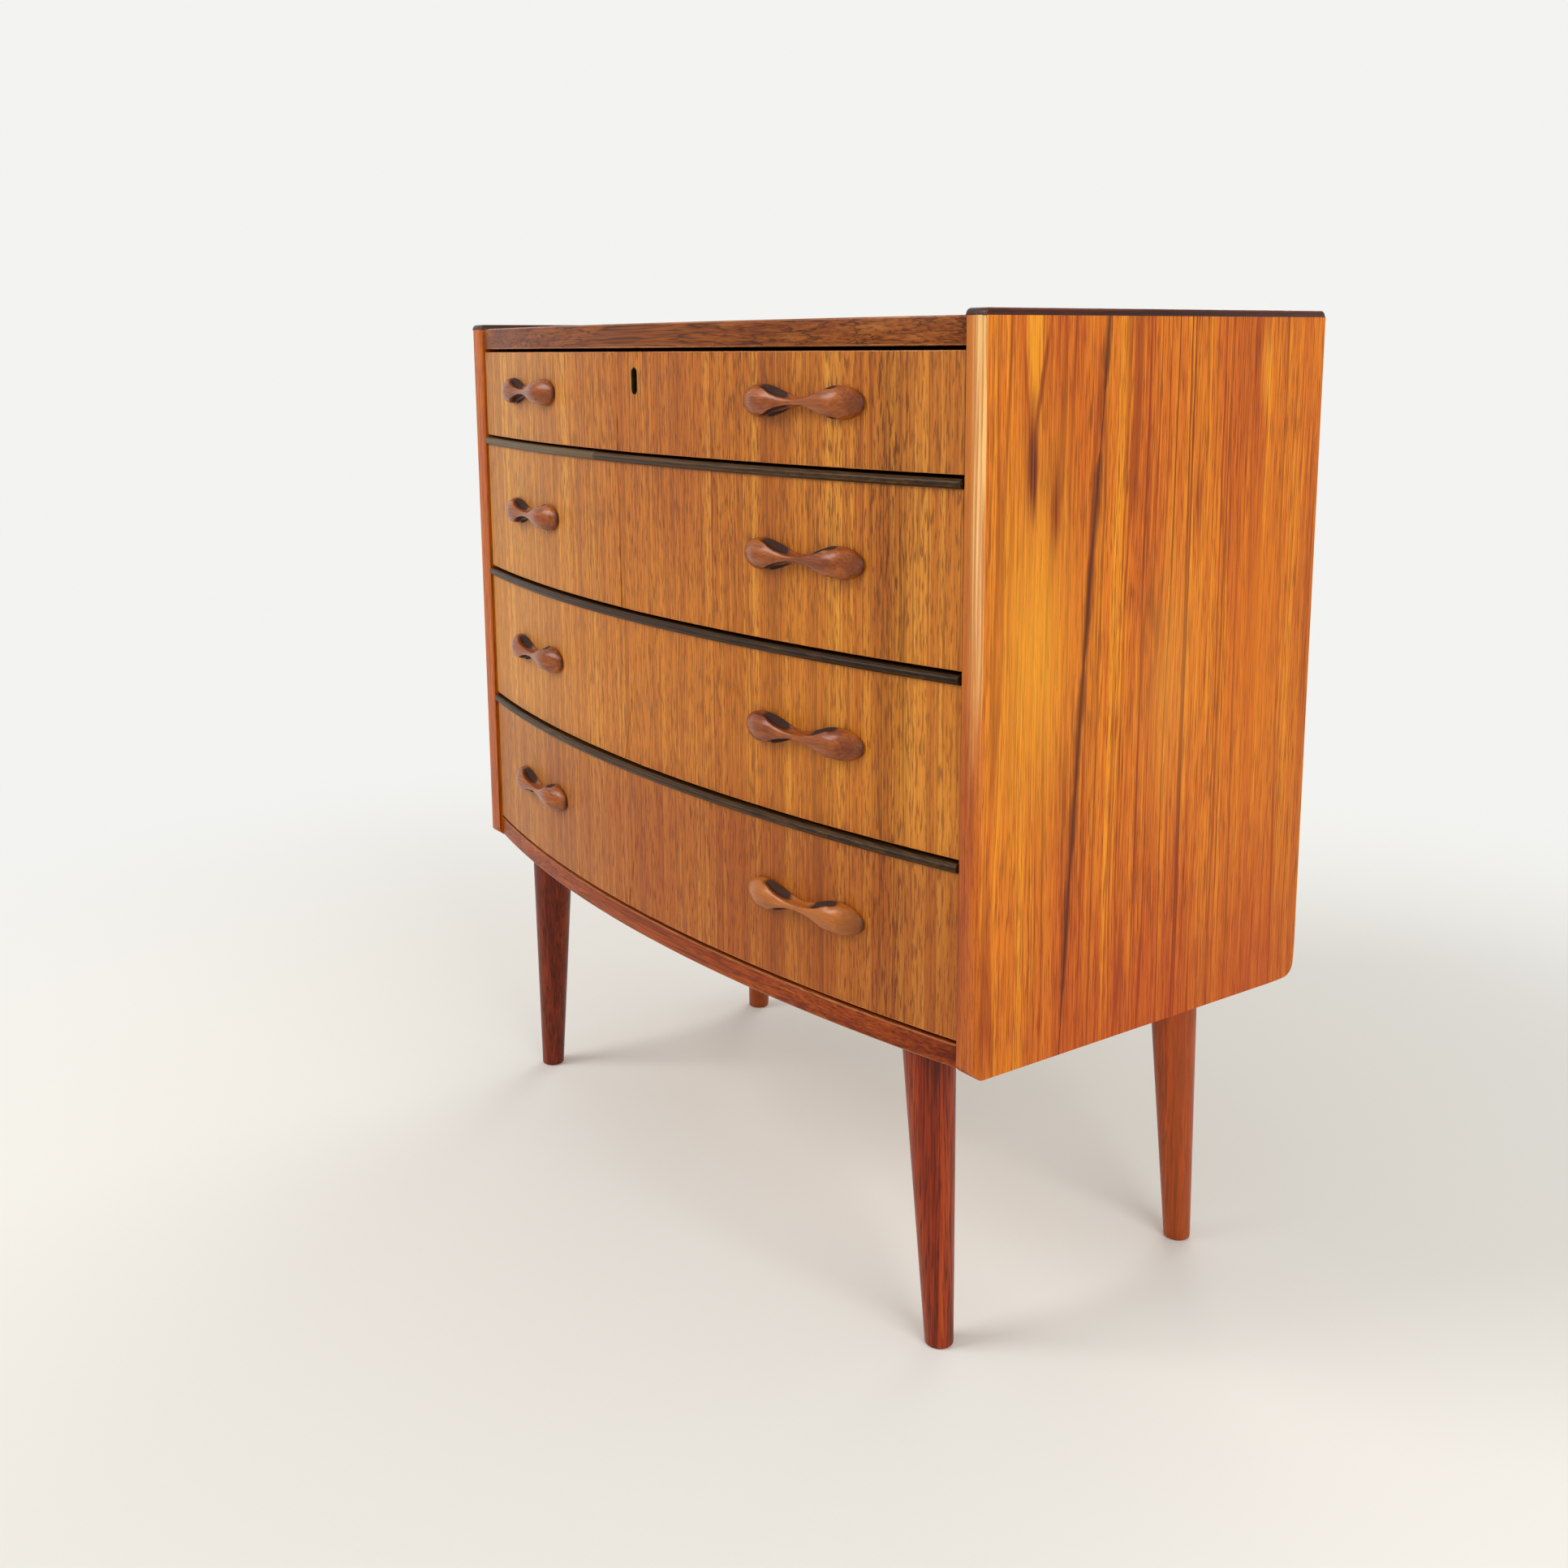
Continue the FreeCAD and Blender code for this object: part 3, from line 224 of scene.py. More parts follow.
# Marks on the leaf, most of them its figure: place across from the front edge, height, half width,
# half length, lean in radians (top forward), colour and strength. Near the top a golden tongue ends in a
# dark V.
side_marks = [
    (0.053, 0.560, 0.080, 0.250, 0.0, "#F0A82C", 0.75),
    # A pale golden patch in the middle of the leaf: a painted reflection of the lamp light.
    (0.190, 0.520, 0.060, 0.200, 0.0, "#E49A38", 0.55),
    (0.285, 0.540, 0.055, 0.240, 0.0, "#D07010", 0.85),
    (0.048, 0.780, 0.0195, 0.135, 0.0, "#EA9C22", 0.75),
    (0.0555, 0.742, 0.005, 0.078, -0.185, "#7A2E0C", 0.85),
    (0.0400, 0.738, 0.0045, 0.080, 0.1, "#8A3A12", 0.75),
    (0.046, 0.690, 0.014, 0.085, 0.0, "#7C3410", 0.85),
    (0.047, 0.680, 0.007, 0.065, 0.0, "#4A1C10", 0.8),
    (0.070, 0.657, 0.010, 0.064, 0.0, "#7A2A0A", 0.95),
    (0.286, 0.750, 0.012, 0.075, 0.0, "#E89C28", 0.55),
    (0.215, 0.655, 0.009, 0.060, 0.0, "#84380F", 0.9),
    # Two broad red-brown marks low on the leaf: painted shade, darker towards the bottom.
    (0.183, 0.220, 0.360, 0.250, 0.0, "#A63606", 0.85),
    (0.320, 0.270, 0.120, 0.260, 0.0, "#A63A08", 0.7),
    (0.350, 0.500, 0.034, 0.400, 0.0, "#98420E", 0.8),
]
for across, up, half_width, half_length, lean, colour, strength in side_marks:
    mark = add_node(side_teak["tree"], "ShaderNodeMapping", {"vector_type": "TEXTURE"},
                    {"Vector": side_teak["bent"], "Location": (0.0, front_edge + across, up),
                     "Rotation": (lean, 0.0, 0.0), "Scale": (2.0, half_width, half_length)})
    fade = add_node(side_teak["tree"], "ShaderNodeTexGradient", {"gradient_type": "QUADRATIC_SPHERE"},
                    {"Vector": mark.outputs[0]})
    # A narrow mark frays along the fibres and has an edge; a broad one only fades away.
    narrow = half_width < 0.02
    fray, even, share_from, share_full = (3.5, -0.8, 0.1, 0.5) if narrow else (1.0, 1.0, 0.0, 1.5)
    feather = add_node(side_teak["tree"], "ShaderNodeMath", {"operation": "MULTIPLY_ADD"},
                       {0: side_teak["fibre"], 1: fray, 2: even})
    ragged = add_node(side_teak["tree"], "ShaderNodeMath", {"operation": "MULTIPLY"},
                      {0: fade.outputs[1], 1: feather.outputs[0]})
    share = add_node(side_teak["tree"], "ShaderNodeMapRange", None,
                     {0: ragged.outputs[0], 1: share_from, 2: share_full, 3: 0.0, 4: strength})
    tint(side_teak, share.outputs[0], colour)
# A streak of dark mineral stain wanders up the leaf at a slight lean, wider and narrower by turns.
streak_foot = front_edge + 0.0675
streak_lean = 0.0615
streak_at = add_node(side_teak["tree"], "ShaderNodeSeparateXYZ", None, {0: side_teak["bent"]})
off_streak = add_node(side_teak["tree"], "ShaderNodeMath", {"operation": "MULTIPLY_ADD"},
                      {0: streak_at.outputs[2], 1: -streak_lean, 2: streak_at.outputs[1]})
off_streak = add_node(side_teak["tree"], "ShaderNodeMath", {"operation": "SUBTRACT"},
                      {0: off_streak.outputs[0], 1: streak_foot})
off_streak = add_node(side_teak["tree"], "ShaderNodeMath", {"operation": "ABSOLUTE"},
                      {0: off_streak.outputs[0]})
streak_run = add_node(side_teak["tree"], "ShaderNodeMapping", None,
                      {"Vector": side_teak["place"], "Scale": drawn_out("Z", 0.05, 0.07)})
streak_width = add_node(side_teak["tree"], "ShaderNodeTexNoise", None,
                        {"Vector": streak_run.outputs[0], "Scale": 1.0, "Detail": 3.0})
streak_width = add_node(side_teak["tree"], "ShaderNodeMapRange", None,
                        {0: streak_width.outputs[0], 1: 0.42, 2: 0.68, 3: 0.0005, 4: 0.0075})
streak_share = add_node(side_teak["tree"], "ShaderNodeMapRange", None,
                        {0: off_streak.outputs[0], 1: 0.0004, 2: streak_width.outputs[0], 3: 0.9, 4: 0.0})
tint(side_teak, streak_share.outputs[0], "#4E1E0C")
# Rubbed teak arris: hands and cloths have worn the oil thin, so it is paler and shinier than the face.
worn_teak = wood("rubbed_teak_arris", "Z", ("#94501C", "#B86C28", "#CA8034", "#DC9A4C"),
                 gloss=(0.26, 0.36), shine=0.5)
behind_lipping = front_edge + 0.01
below_cap = 0.78
outer_face = 0.389
for hand in ("left", "right"):
    eased_copy(f"side_panel_{hand}", side_teak["material"], worn_teak["material"], 0.0012,
               lambda point: (point.y > behind_lipping and point.z < below_cap
                              and abs(point.x) > outer_face),
               "carcass")


# Front lippings: solid teak strips glued to the front edges of the sides, the grain upright.
# Their front is planed to a low crown and polished by hand, so it catches the light.
# Oiled solid teak: orange to red-brown, even in the grain, with a gloss that hands have polished.
lipping_teak = wood("oiled_teak_lipping", "Z", ("#7A2C04", "#AC4C08", "#BC5C0C", "#CE7418"), ring=0.005,
                    gloss=(0.22, 0.32), bump=0.15, pore=0.5)
# The right one is tinted golden in its upper half, which is painted light, and there a pale streak
# along its outer corner is a painted highlight, the reflection of the lamp light on its rounded corner.
highlight_inner = 0.379
highlight_outer = 0.3885
lipping_at = add_node(lipping_teak["tree"], "ShaderNodeSeparateXYZ", None, {0: lipping_teak["bent"]})
on_corner = add_node(lipping_teak["tree"], "ShaderNodeMapRange", {"interpolation_type": "SMOOTHSTEP"},
                     {0: lipping_at.outputs[0], 1: highlight_inner, 2: highlight_outer, 3: 0.0, 4: 0.9})
upper_half = add_node(lipping_teak["tree"], "ShaderNodeMapRange", {"interpolation_type": "SMOOTHSTEP"},
                     {0: lipping_at.outputs[2], 1: 0.42, 2: 0.66})
right_one = add_node(lipping_teak["tree"], "ShaderNodeMapRange", None,
                     {0: lipping_at.outputs[0], 1: 0.0, 2: 0.36, 3: 0.0, 4: 0.3})
painted_light_up = add_node(lipping_teak["tree"], "ShaderNodeMath", {"operation": "MULTIPLY"},
                     {0: right_one.outputs[0], 1: upper_half.outputs[0]})
# Painted light: the right lipping tinted golden in its upper half.
tint(lipping_teak, painted_light_up.outputs[0], "#D89030")
# Painted highlight: a pale streak along the outer corner of the right lipping's upper half, broken by the
# fibres.
corner_highlight = add_node(lipping_teak["tree"], "ShaderNodeMath", {"operation": "MULTIPLY"},
                  {0: on_corner.outputs[0], 1: upper_half.outputs[0]})
by_fibre = add_node(lipping_teak["tree"], "ShaderNodeMapRange", None,
                    {0: lipping_teak["fibre"], 1: 0.42, 2: 0.58, 3: 0.25, 4: 1.0})
corner_highlight = add_node(lipping_teak["tree"], "ShaderNodeMath", {"operation": "MULTIPLY"},
                  {0: corner_highlight.outputs[0], 1: by_fibre.outputs[0]})
tint(lipping_teak, corner_highlight.outputs[0], "#F0C078")
for hand in ("left", "right"):
    eased_copy(f"side_front_lipping_{hand}", lipping_teak["material"], lipping_teak["material"], 0.0035,
               lambda point: point.y < front_edge - 0.0005, "carcass", segments=5,
               upright_only=True)


# Top lippings: dark stained hardwood strips that cap the sides, standing just above the top.
# Rounded over at the ends and along the arrises, nearly black with a red-brown glow where rubbed.
cap_wood = wood("dark_stained_lipping", "Y", ("#1C0A05", "#341409", "#4A2010", "#64301A"), ring=0.006,
                line=0.3, pore=0.4, gloss=(0.24, 0.36))
rubbed_cap = wood("rubbed_dark_lipping", "Y", ("#301208", "#4E2210", "#68321A", "#804426"), ring=0.006,
                  line=0.3, pore=0.4, gloss=(0.2, 0.3))
cap_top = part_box("side_top_lipping_right")[1].z
cap_round = 0.0048
for hand in ("left", "right"):
    eased_copy(f"side_top_lipping_{hand}", cap_wood["material"], rubbed_cap["material"], 0.0014,
               lambda point: point.z > cap_top - cap_round, "carcass")


# Top: a veneered panel let in between the sides, with a bowed rail of solid teak in front.
# The rail is bandsawn to the bow and planed, so its grain runs level and runs out at the ends.
def dress(node, material):
    """Gives a node of the frame its finish."""
    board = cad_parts[node]
    board.material_slots[0].material = material


bow_axis = Vector((0.0, 1.52122, 0.0))
bow_radius = 1.71004
facet_depth = 0.0004


def on_bow(point):
    """True for a point on the bowed face of the drawer fronts and rails."""
    return math.hypot(point.x - bow_axis.x, point.y - bow_axis.y) > bow_radius - facet_depth


# Oiled teak: a calm red-brown veneer on the top, and a darker rail with long level lines, paler
# along its arrises, where hands have rubbed it.
top_teak = wood("oiled_teak_veneer_top", "X", ("#783410", "#A05220", "#B8662A", "#CC8038"), ring=0.012)
rail_teak = wood("oiled_teak_top_rail", "X", ("#2E0E02", "#74360F", "#8C4A1A", "#A6642C"), ring=0.006,
                 line=0.8, pore=0.5, pore_length=0.12, fibre_length=0.4, board=0.02, sway=0.009,
                 gloss=(0.34, 0.48), shine=0.15)
worn_rail = wood("rubbed_rail_arris", "X", ("#6E3818", "#905226", "#A66634", "#BA7C48"),
                 gloss=(0.28, 0.38))
dress("top_panel", top_teak["material"])
eased_copy("top_front_rail", rail_teak["material"], worn_rail["material"], 0.0012, on_bow, "carcass")


# Base: a panel between the sides, behind a second bowed rail that closes the case below.
# The rail is solid teak, redder than the fronts; the panel is plain veneered board, pale and dry.
base_rail_teak = wood("oiled_teak_base_rail", "X", ("#561A02", "#8C380C", "#A04812", "#B45C20"),
                      ring=0.006, pore_length=0.06, fibre_length=0.4, board=0.025, sway=0.008,
                      gloss=(0.34, 0.48), shine=0.15)
base_board = wood("base_board_veneer", "X", ("#8A5A34", "#A87A4E", "#BA8C5E", "#C89E72"), ring=0.014,
                  line=0.25, gloss=(0.55, 0.7))
dress("bottom_panel", base_board["material"])
eased_copy("bottom_front_rail", base_rail_teak["material"], worn_rail["material"], 0.0012, on_bow,
           "carcass")


# Back: one sheet of thin plywood in rabbets round the case, held by slotted steel screws.
# Rotary-cut face, so the figure is broad and wavy, dry and only lightly sealed.
back_ply = wood("rotary_cut_plywood", "Z", ("#8C6238", "#AC8052", "#BC9264", "#CCA67A"), ring=0.03,
                line=0.35, sway=0.03, pore=0.35, gloss=(0.6, 0.75), bump=0.15)
dress("back_panel", back_ply["material"])


def metal(name, colour, dull, bright, scratch):
    """Plain worked metal: fine drawn scratches that break up the gloss, duller in patches."""
    material = bpy.data.materials.new(name)
    material.use_nodes = True
    tree = material.node_tree
    shader = tree.nodes["Principled BSDF"]
    shader.inputs["Metallic"].default_value = 1.0
    place = add_node(tree, "ShaderNodeTexCoord").outputs["Object"]
    drawn = add_node(tree, "ShaderNodeMapping", None,
                     {"Vector": place, "Scale": drawn_out("X", scratch, 0.02)})
    marks = add_node(tree, "ShaderNodeTexNoise", None,
                     {"Vector": drawn.outputs[0], "Scale": 1.0, "Detail": 3.0})
    patch = add_node(tree, "ShaderNodeTexNoise", None, {"Vector": place, "Scale": 180.0, "Detail": 2.0})
    tone = add_node(tree, "ShaderNodeMix", {"data_type": "RGBA"},
                    {0: patch.outputs[0], 6: linear(colour[0]), 7: linear(colour[1])})
    rough = add_node(tree, "ShaderNodeMapRange", None,
                     {0: marks.outputs[0], 1: 0.3, 2: 0.7, 3: bright, 4: dull})
    relief = add_node(tree, "ShaderNodeBump", None,
                      {"Strength": 0.2, "Distance": 0.0001, "Height": marks.outputs[0]})
    tree.links.new(tone.outputs[2], shader.inputs["Base Color"])
    tree.links.new(rough.outputs[0], shader.inputs["Roughness"])
    tree.links.new(relief.outputs[0], shader.inputs["Normal"])
    return material


# Plain drawn steel: grey, with a dull gleam broken up by fine scratches.
screw_steel = metal("plain_drawn_steel", ("#8A8A88", "#B4B4B2"), 0.45, 0.28, 0.0004)


def screw_head(name, radius):
    """A round slotted screw head at the origin, its flat side down on the ground plane."""
    bpy.ops.object.select_all(action="DESELECT")
    bpy.ops.mesh.primitive_uv_sphere_add(segments=24, ring_count=12, radius=radius, location=(0, 0, 0))
    head = bpy.context.active_object
    head.name = name
    slot_half = radius * 0.13
    bpy.ops.object.mode_set(mode="EDIT")
    bpy.ops.mesh.select_all(action="SELECT")
    bpy.ops.mesh.bisect(plane_co=(0, 0, 0), plane_no=(0, 0, 1), use_fill=True, clear_inner=True)
    bpy.ops.mesh.select_all(action="SELECT")
    bpy.ops.transform.resize(value=(1, 1, 0.6), center_override=(0, 0, 0))
    for edge_of_slot in (-slot_half, slot_half):
        bpy.ops.mesh.select_all(action="SELECT")
        bpy.ops.mesh.bisect(plane_co=(0, edge_of_slot, 0), plane_no=(0, 1, 0))
    bpy.ops.mesh.select_mode(type="FACE")
    bpy.ops.mesh.select_all(action="DESELECT")
    bpy.ops.object.mode_set(mode="OBJECT")
    for face in head.data.polygons:
        face.select = abs(face.center.y) < slot_half and face.center.z > radius * 0.05
    bpy.ops.object.mode_set(mode="EDIT")
    bpy.ops.mesh.extrude_region_move(TRANSFORM_OT_translate={"value": (0, 0, -radius * 0.22)})
    bpy.ops.object.mode_set(mode="OBJECT")
    head.data.materials.append(screw_steel)
    bpy.ops.object.shade_smooth_by_angle(angle=math.radians(40))
    return head


def set_screws(head, name, places, body):
    """Copies of a screw head, each turned and moved to its place, joined as one piece."""
    copies = []
    for place in places:
        copy = bpy.data.objects.new(name, head.data.copy())
        bpy.context.scene.collection.objects.link(copy)
        copy.data.transform(place)
        copies.append(copy)
    bpy.ops.object.select_all(action="DESELECT")
    for copy in copies:
        copy.select_set(True)
    bpy.context.view_layer.objects.active = copies[0]
    bpy.ops.object.join()
    joined = bpy.context.active_object
    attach(joined, body)
    return joined


back_low, back_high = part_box("back_panel")
back_screw = screw_head("screw_pattern", 0.003)
facing_rear = Matrix.Rotation(-math.pi / 2, 4, "X")
edge_inset = 0.006
column_places = (-0.36, -0.18, 0.0, 0.18, 0.36)
row_heights = (0.39, 0.515, 0.64)
row_x = 0.373
back_places = []
for across in column_places:
    for up in (back_low.z + edge_inset, back_high.z - edge_inset):
        slot_turn = Matrix.Rotation(across * 9 + up * 5, 4, "Z")
        back_places.append(Matrix.Translation((across, back_high.y, up)) @ facing_rear @ slot_turn)
for hand in (-1, 1):
    for up in row_heights:
        slot_turn = Matrix.Rotation(hand * 2 + up * 7, 4, "Z")
        back_places.append(Matrix.Translation((hand * row_x, back_high.y, up)) @ facing_rear @ slot_turn)
set_screws(back_screw, "back_screws", back_places, "carcass")


# Legs: four turned teak legs, tapered to the foot and splayed sideways, bolted to the base.
# Red-brown heart wood, the lathe's finish sanded out along the grain, feet eased on the floor.
leg_teak = wood("oiled_teak_leg", "Z", ("#3E0C00", "#822808", "#9C380A", "#BA5014"), ring=0.006, line=0.8,
                pore=0.65, pore_length=0.03, sway=0.006, gloss=(0.3, 0.42), board=0.018)
# Painted light and shade: the left pair of legs is tinted darker as in shade, the rear pair brighter as if
# lit.
leg_at = add_node(leg_teak["tree"], "ShaderNodeSeparateXYZ", None, {0: leg_teak["place"]})
on_left = add_node(leg_teak["tree"], "ShaderNodeMath", {"operation": "LESS_THAN"},
                   {0: leg_at.outputs[0], 1: 0.0})
painted_shade_left_legs = add_node(leg_teak["tree"], "ShaderNodeMath", {"operation": "MULTIPLY"},
                      {0: on_left.outputs[0], 1: 0.4})
tint(leg_teak, painted_shade_left_legs.outputs[0], "#3C1404")
at_rear = add_node(leg_teak["tree"], "ShaderNodeMath", {"operation": "GREATER_THAN"},
                   {0: leg_at.outputs[1], 1: 0.0})
painted_light_rear_legs = add_node(leg_teak["tree"], "ShaderNodeMath", {"operation": "MULTIPLY"},
                        {0: at_rear.outputs[0], 1: 0.22})
tint(leg_teak, painted_light_rear_legs.outputs[0], "#E4762C")
foot_radius = 0.01115
top_radius = 0.0209
leg_lean = 0.01573
leg_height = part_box("leg_front_right")[1].z
bpy.ops.object.select_all(action="DESELECT")
bpy.ops.mesh.primitive_cylinder_add(vertices=64, radius=foot_radius, depth=leg_height,
                                    location=(0, 0, leg_height / 2))
bpy.ops.object.transform_apply(location=True, rotation=False, scale=False)
leg_pattern = bpy.context.active_object
leg_pattern.name = "leg_pattern"
bpy.ops.object.mode_set(mode="EDIT")
bpy.ops.mesh.select_mode(type="VERT")
bpy.ops.mesh.select_all(action="DESELECT")
bpy.ops.object.mode_set(mode="OBJECT")
for vertex in leg_pattern.data.vertices:
    vertex.select = vertex.co.z > leg_height / 2
bpy.ops.object.mode_set(mode="EDIT")
bpy.ops.transform.resize(value=(top_radius / foot_radius, top_radius / foot_radius, 1),
                         center_override=(0, 0, leg_height))
bpy.ops.transform.translate(value=(-leg_lean, 0, 0))
bpy.ops.mesh.select_mode(type="EDGE")
bpy.ops.mesh.select_all(action="DESELECT")
bpy.ops.object.mode_set(mode="OBJECT")
for edge in leg_pattern.data.edges:
    edge.select = all(leg_pattern.data.vertices[i].co.z < 0.001 for i in edge.vertices)
bpy.ops.object.mode_set(mode="EDIT")
bpy.ops.mesh.bevel(offset=0.002, segments=4, affect="EDGES")
bpy.ops.object.mode_set(mode="OBJECT")
bpy.ops.object.shade_smooth_by_angle(angle=math.radians(35))
leg_pattern.data.materials.append(leg_teak["material"])
for row in ("front", "rear"):
    for hand, sign in (("left", -1), ("right", 1)):
        node = f"leg_{row}_{hand}"
        leg_low, leg_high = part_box(node)
        leg = bpy.data.objects.new(node + "_turned", leg_pattern.data.copy())
        bpy.context.scene.collection.objects.link(leg)
        foot_x = sign * (max(abs(leg_low.x), abs(leg_high.x)) - foot_radius)
        half_turn = Matrix.Rotation(0.0 if sign > 0 else math.pi, 4, "Z")
        leg.data.transform(Matrix.Translation((foot_x, (leg_low.y + leg_high.y) / 2, 0)) @ half_turn)
        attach(leg, "carcass")
        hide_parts(node)
bpy.data.objects.remove(leg_pattern)
dress("leg_bolts", screw_steel)


# Runners: beech strips housed in the sides, on which the drawers hang by the grooves in theirs.
# Straight-grained and waxed, left pale, with the short fine flecks of beech.
beech = wood("waxed_beech", "Y", ("#A87A4C", "#C49A68", "#CFA878", "#DAB88C"), ring=0.006, line=0.2,
             pore=0.45, pore_length=0.004, gloss=(0.42, 0.56), bump=0.15)
dress("runners_left", beech["material"])
dress("runners_right", beech["material"])


# Drawer fronts: bowed laminated boards, faced with upright teak veneer that runs on from drawer
# to drawer. One leaf joins the next right of the middle, and the ends hold the dovetails.
seam = 0.110
front_half = 0.368
# Oiled teak veneer: golden brown, with short dark pores close together and a soft gloss.
front_teak = wood("oiled_teak_veneer_front", "Z", ("#4C1A02", "#AC5A14", "#C87A22", "#E2A03C"), ring=0.006,
                  line=0.7, pore=0.85, pore_width=0.0015, pore_length=0.015, sway=0.004, board=0.03,
                  spread=1.1, leaf_edge=seam)
# The left leaf goes from pale to red-brown at the joint; the right one has a dark stripe near its end.
front_place = add_node(front_teak["tree"], "ShaderNodeSeparateXYZ", None, {0: front_teak["place"]})
front_x = front_place.outputs[0]
along_front = add_node(front_teak["tree"], "ShaderNodeMapRange", None,
                       {0: front_x, 1: -front_half, 2: front_half})
leaf_tone = add_node(front_teak["tree"], "ShaderNodeValToRGB",
                     {"stops": [(0.0, "#D29C58"), (0.2, "#D6A05A"), (0.45, "#B86824"),
                                (0.645, "#B05C1C"), (0.655, "#9A4A0E"), (0.8, "#C27424"),
                                (0.885, "#A4581C"), (0.905, "#5C2404"), (0.925, "#5C2404"),
                                (0.945, "#BC7430"), (1.0, "#B8702C")]},
                     {"Fac": along_front.outputs[0]})
toned = add_node(front_teak["tree"], "ShaderNodeMix", {"data_type": "RGBA"},
                 {0: 0.3, 6: front_teak["colour"], 7: leaf_tone.outputs[0]})
front_teak["colour"] = toned.outputs[2]
# Painted shade: redder low on the fronts, darker to the bottom. Painted light: more golden at the third
# drawer.
painted_shade_low_front = add_node(front_teak["tree"], "ShaderNodeMapRange", {"interpolation_type": "SMOOTHSTEP"},
                     {0: front_place.outputs[2], 1: 0.36, 2: 0.44, 3: 0.35, 4: 0.0})
tint(front_teak, painted_shade_low_front.outputs[0], "#8E3A0A")
third_low, third_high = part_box("drawer_3_front")
from_below = add_node(front_teak["tree"], "ShaderNodeMapRange", {"interpolation_type": "SMOOTHSTEP"},
                      {0: front_place.outputs[2], 1: third_low.z - 0.02, 2: third_low.z + 0.02})
from_above = add_node(front_teak["tree"], "ShaderNodeMapRange", {"interpolation_type": "SMOOTHSTEP"},
                      {0: front_place.outputs[2], 1: third_high.z, 2: third_high.z + 0.1, 3: 0.1, 4: 0.02})
painted_light_third_front = add_node(front_teak["tree"], "ShaderNodeMath", {"operation": "MULTIPLY"},
                        {0: from_below.outputs[0], 1: from_above.outputs[0]})
tint(front_teak, painted_light_third_front.outputs[0], "#FFA020")
# The two leaves meet in a thin dark line.
off_seam = add_node(front_teak["tree"], "ShaderNodeMath", {"operation": "SUBTRACT"}, {0: front_x, 1: seam})
off_seam = add_node(front_teak["tree"], "ShaderNodeMath", {"operation": "ABSOLUTE"},
                    {0: off_seam.outputs[0]})
joint_line = add_node(front_teak["tree"], "ShaderNodeMapRange", None,
                      {0: off_seam.outputs[0], 1: 0.0003, 2: 0.0009, 3: 0.5, 4: 0.0})
tint(front_teak, joint_line.outputs[0], "#6A3618")


def true_bow(piece):
    """Gives the bowed face of a piece the shading of one smooth curve, whatever its facets."""
    mesh = piece.data
    shading = [corner.vector.copy() for corner in mesh.corner_normals]
    for face in mesh.polygons:
        outward = face.center - bow_axis
        outward.z = 0.0
        if face.normal.dot(outward.normalized()) > 0.9995:
            for corner in face.loop_indices:
                spoke = mesh.vertices[mesh.loops[corner].vertex_index].co - bow_axis
                spoke.z = 0.0
                shading[corner] = spoke.normalized()
    mesh.normals_split_custom_set(shading)


keyhole_reach = 0.01
for number in (1, 2, 3, 4):
    top_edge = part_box(f"drawer_{number}_front")[1].z
    bead_seat = top_edge - 0.0005 if number > 1 else 1.0
    true_bow(eased_copy(f"drawer_{number}_front", front_teak["material"], worn_teak["material"], 0.0006,
                        lambda point: (on_bow(point) and point.z < bead_seat
                                       and abs(point.x) > keyhole_reach),
                        f"drawer_{number}"))


# Beads: dark stained strips on the top edges of the three lower fronts, standing proud of them.
# Bent to the bow and glued; rounded over, they work as a shadow line and keep dust out.
# Dark stained hardwood: black-brown with a faint long grain, browner where the stain is rubbed.
bead_wood = wood("dark_stained_bead", "X", ("#140A02", "#2A1808", "#3C260E", "#54381A"), ring=0.004,
                 line=0.3, pore=0.5, pore_length=0.05, fibre_length=0.3, gloss=(0.34, 0.46), shine=0.15)
rubbed_bead = wood("rubbed_dark_bead", "X", ("#221408", "#3A2610", "#50381C", "#684C2C"), ring=0.004,
                   line=0.3, pore=0.5, pore_length=0.05, fibre_length=0.3, gloss=(0.3, 0.42), shine=0.15)
# The bead of the second drawer is in two lengths, the left one paler, butted left of the middle.
bead_joint = -0.07
above_third_bead = 0.6
for stained in (bead_wood, rubbed_bead):
    bead_at = add_node(stained["tree"], "ShaderNodeSeparateXYZ", None, {0: stained["place"]})
    left_length = add_node(stained["tree"], "ShaderNodeMath", {"operation": "LESS_THAN"},
                           {0: bead_at.outputs[0], 1: bead_joint})
    second_drawer = add_node(stained["tree"], "ShaderNodeMath", {"operation": "GREATER_THAN"},
                             {0: bead_at.outputs[2], 1: above_third_bead})
    paler = add_node(stained["tree"], "ShaderNodeMath", {"operation": "MULTIPLY"},
                     {0: left_length.outputs[0], 1: second_drawer.outputs[0]})
    paler = add_node(stained["tree"], "ShaderNodeMath", {"operation": "MULTIPLY"},
                     {0: paler.outputs[0], 1: 0.45})
    tint(stained, paler.outputs[0], "#7A6446")
for number in (2, 3, 4):
    eased_copy(f"drawer_{number}_bead", bead_wood["material"], rubbed_bead["material"], 0.0006,
               on_bow, f"drawer_{number}")


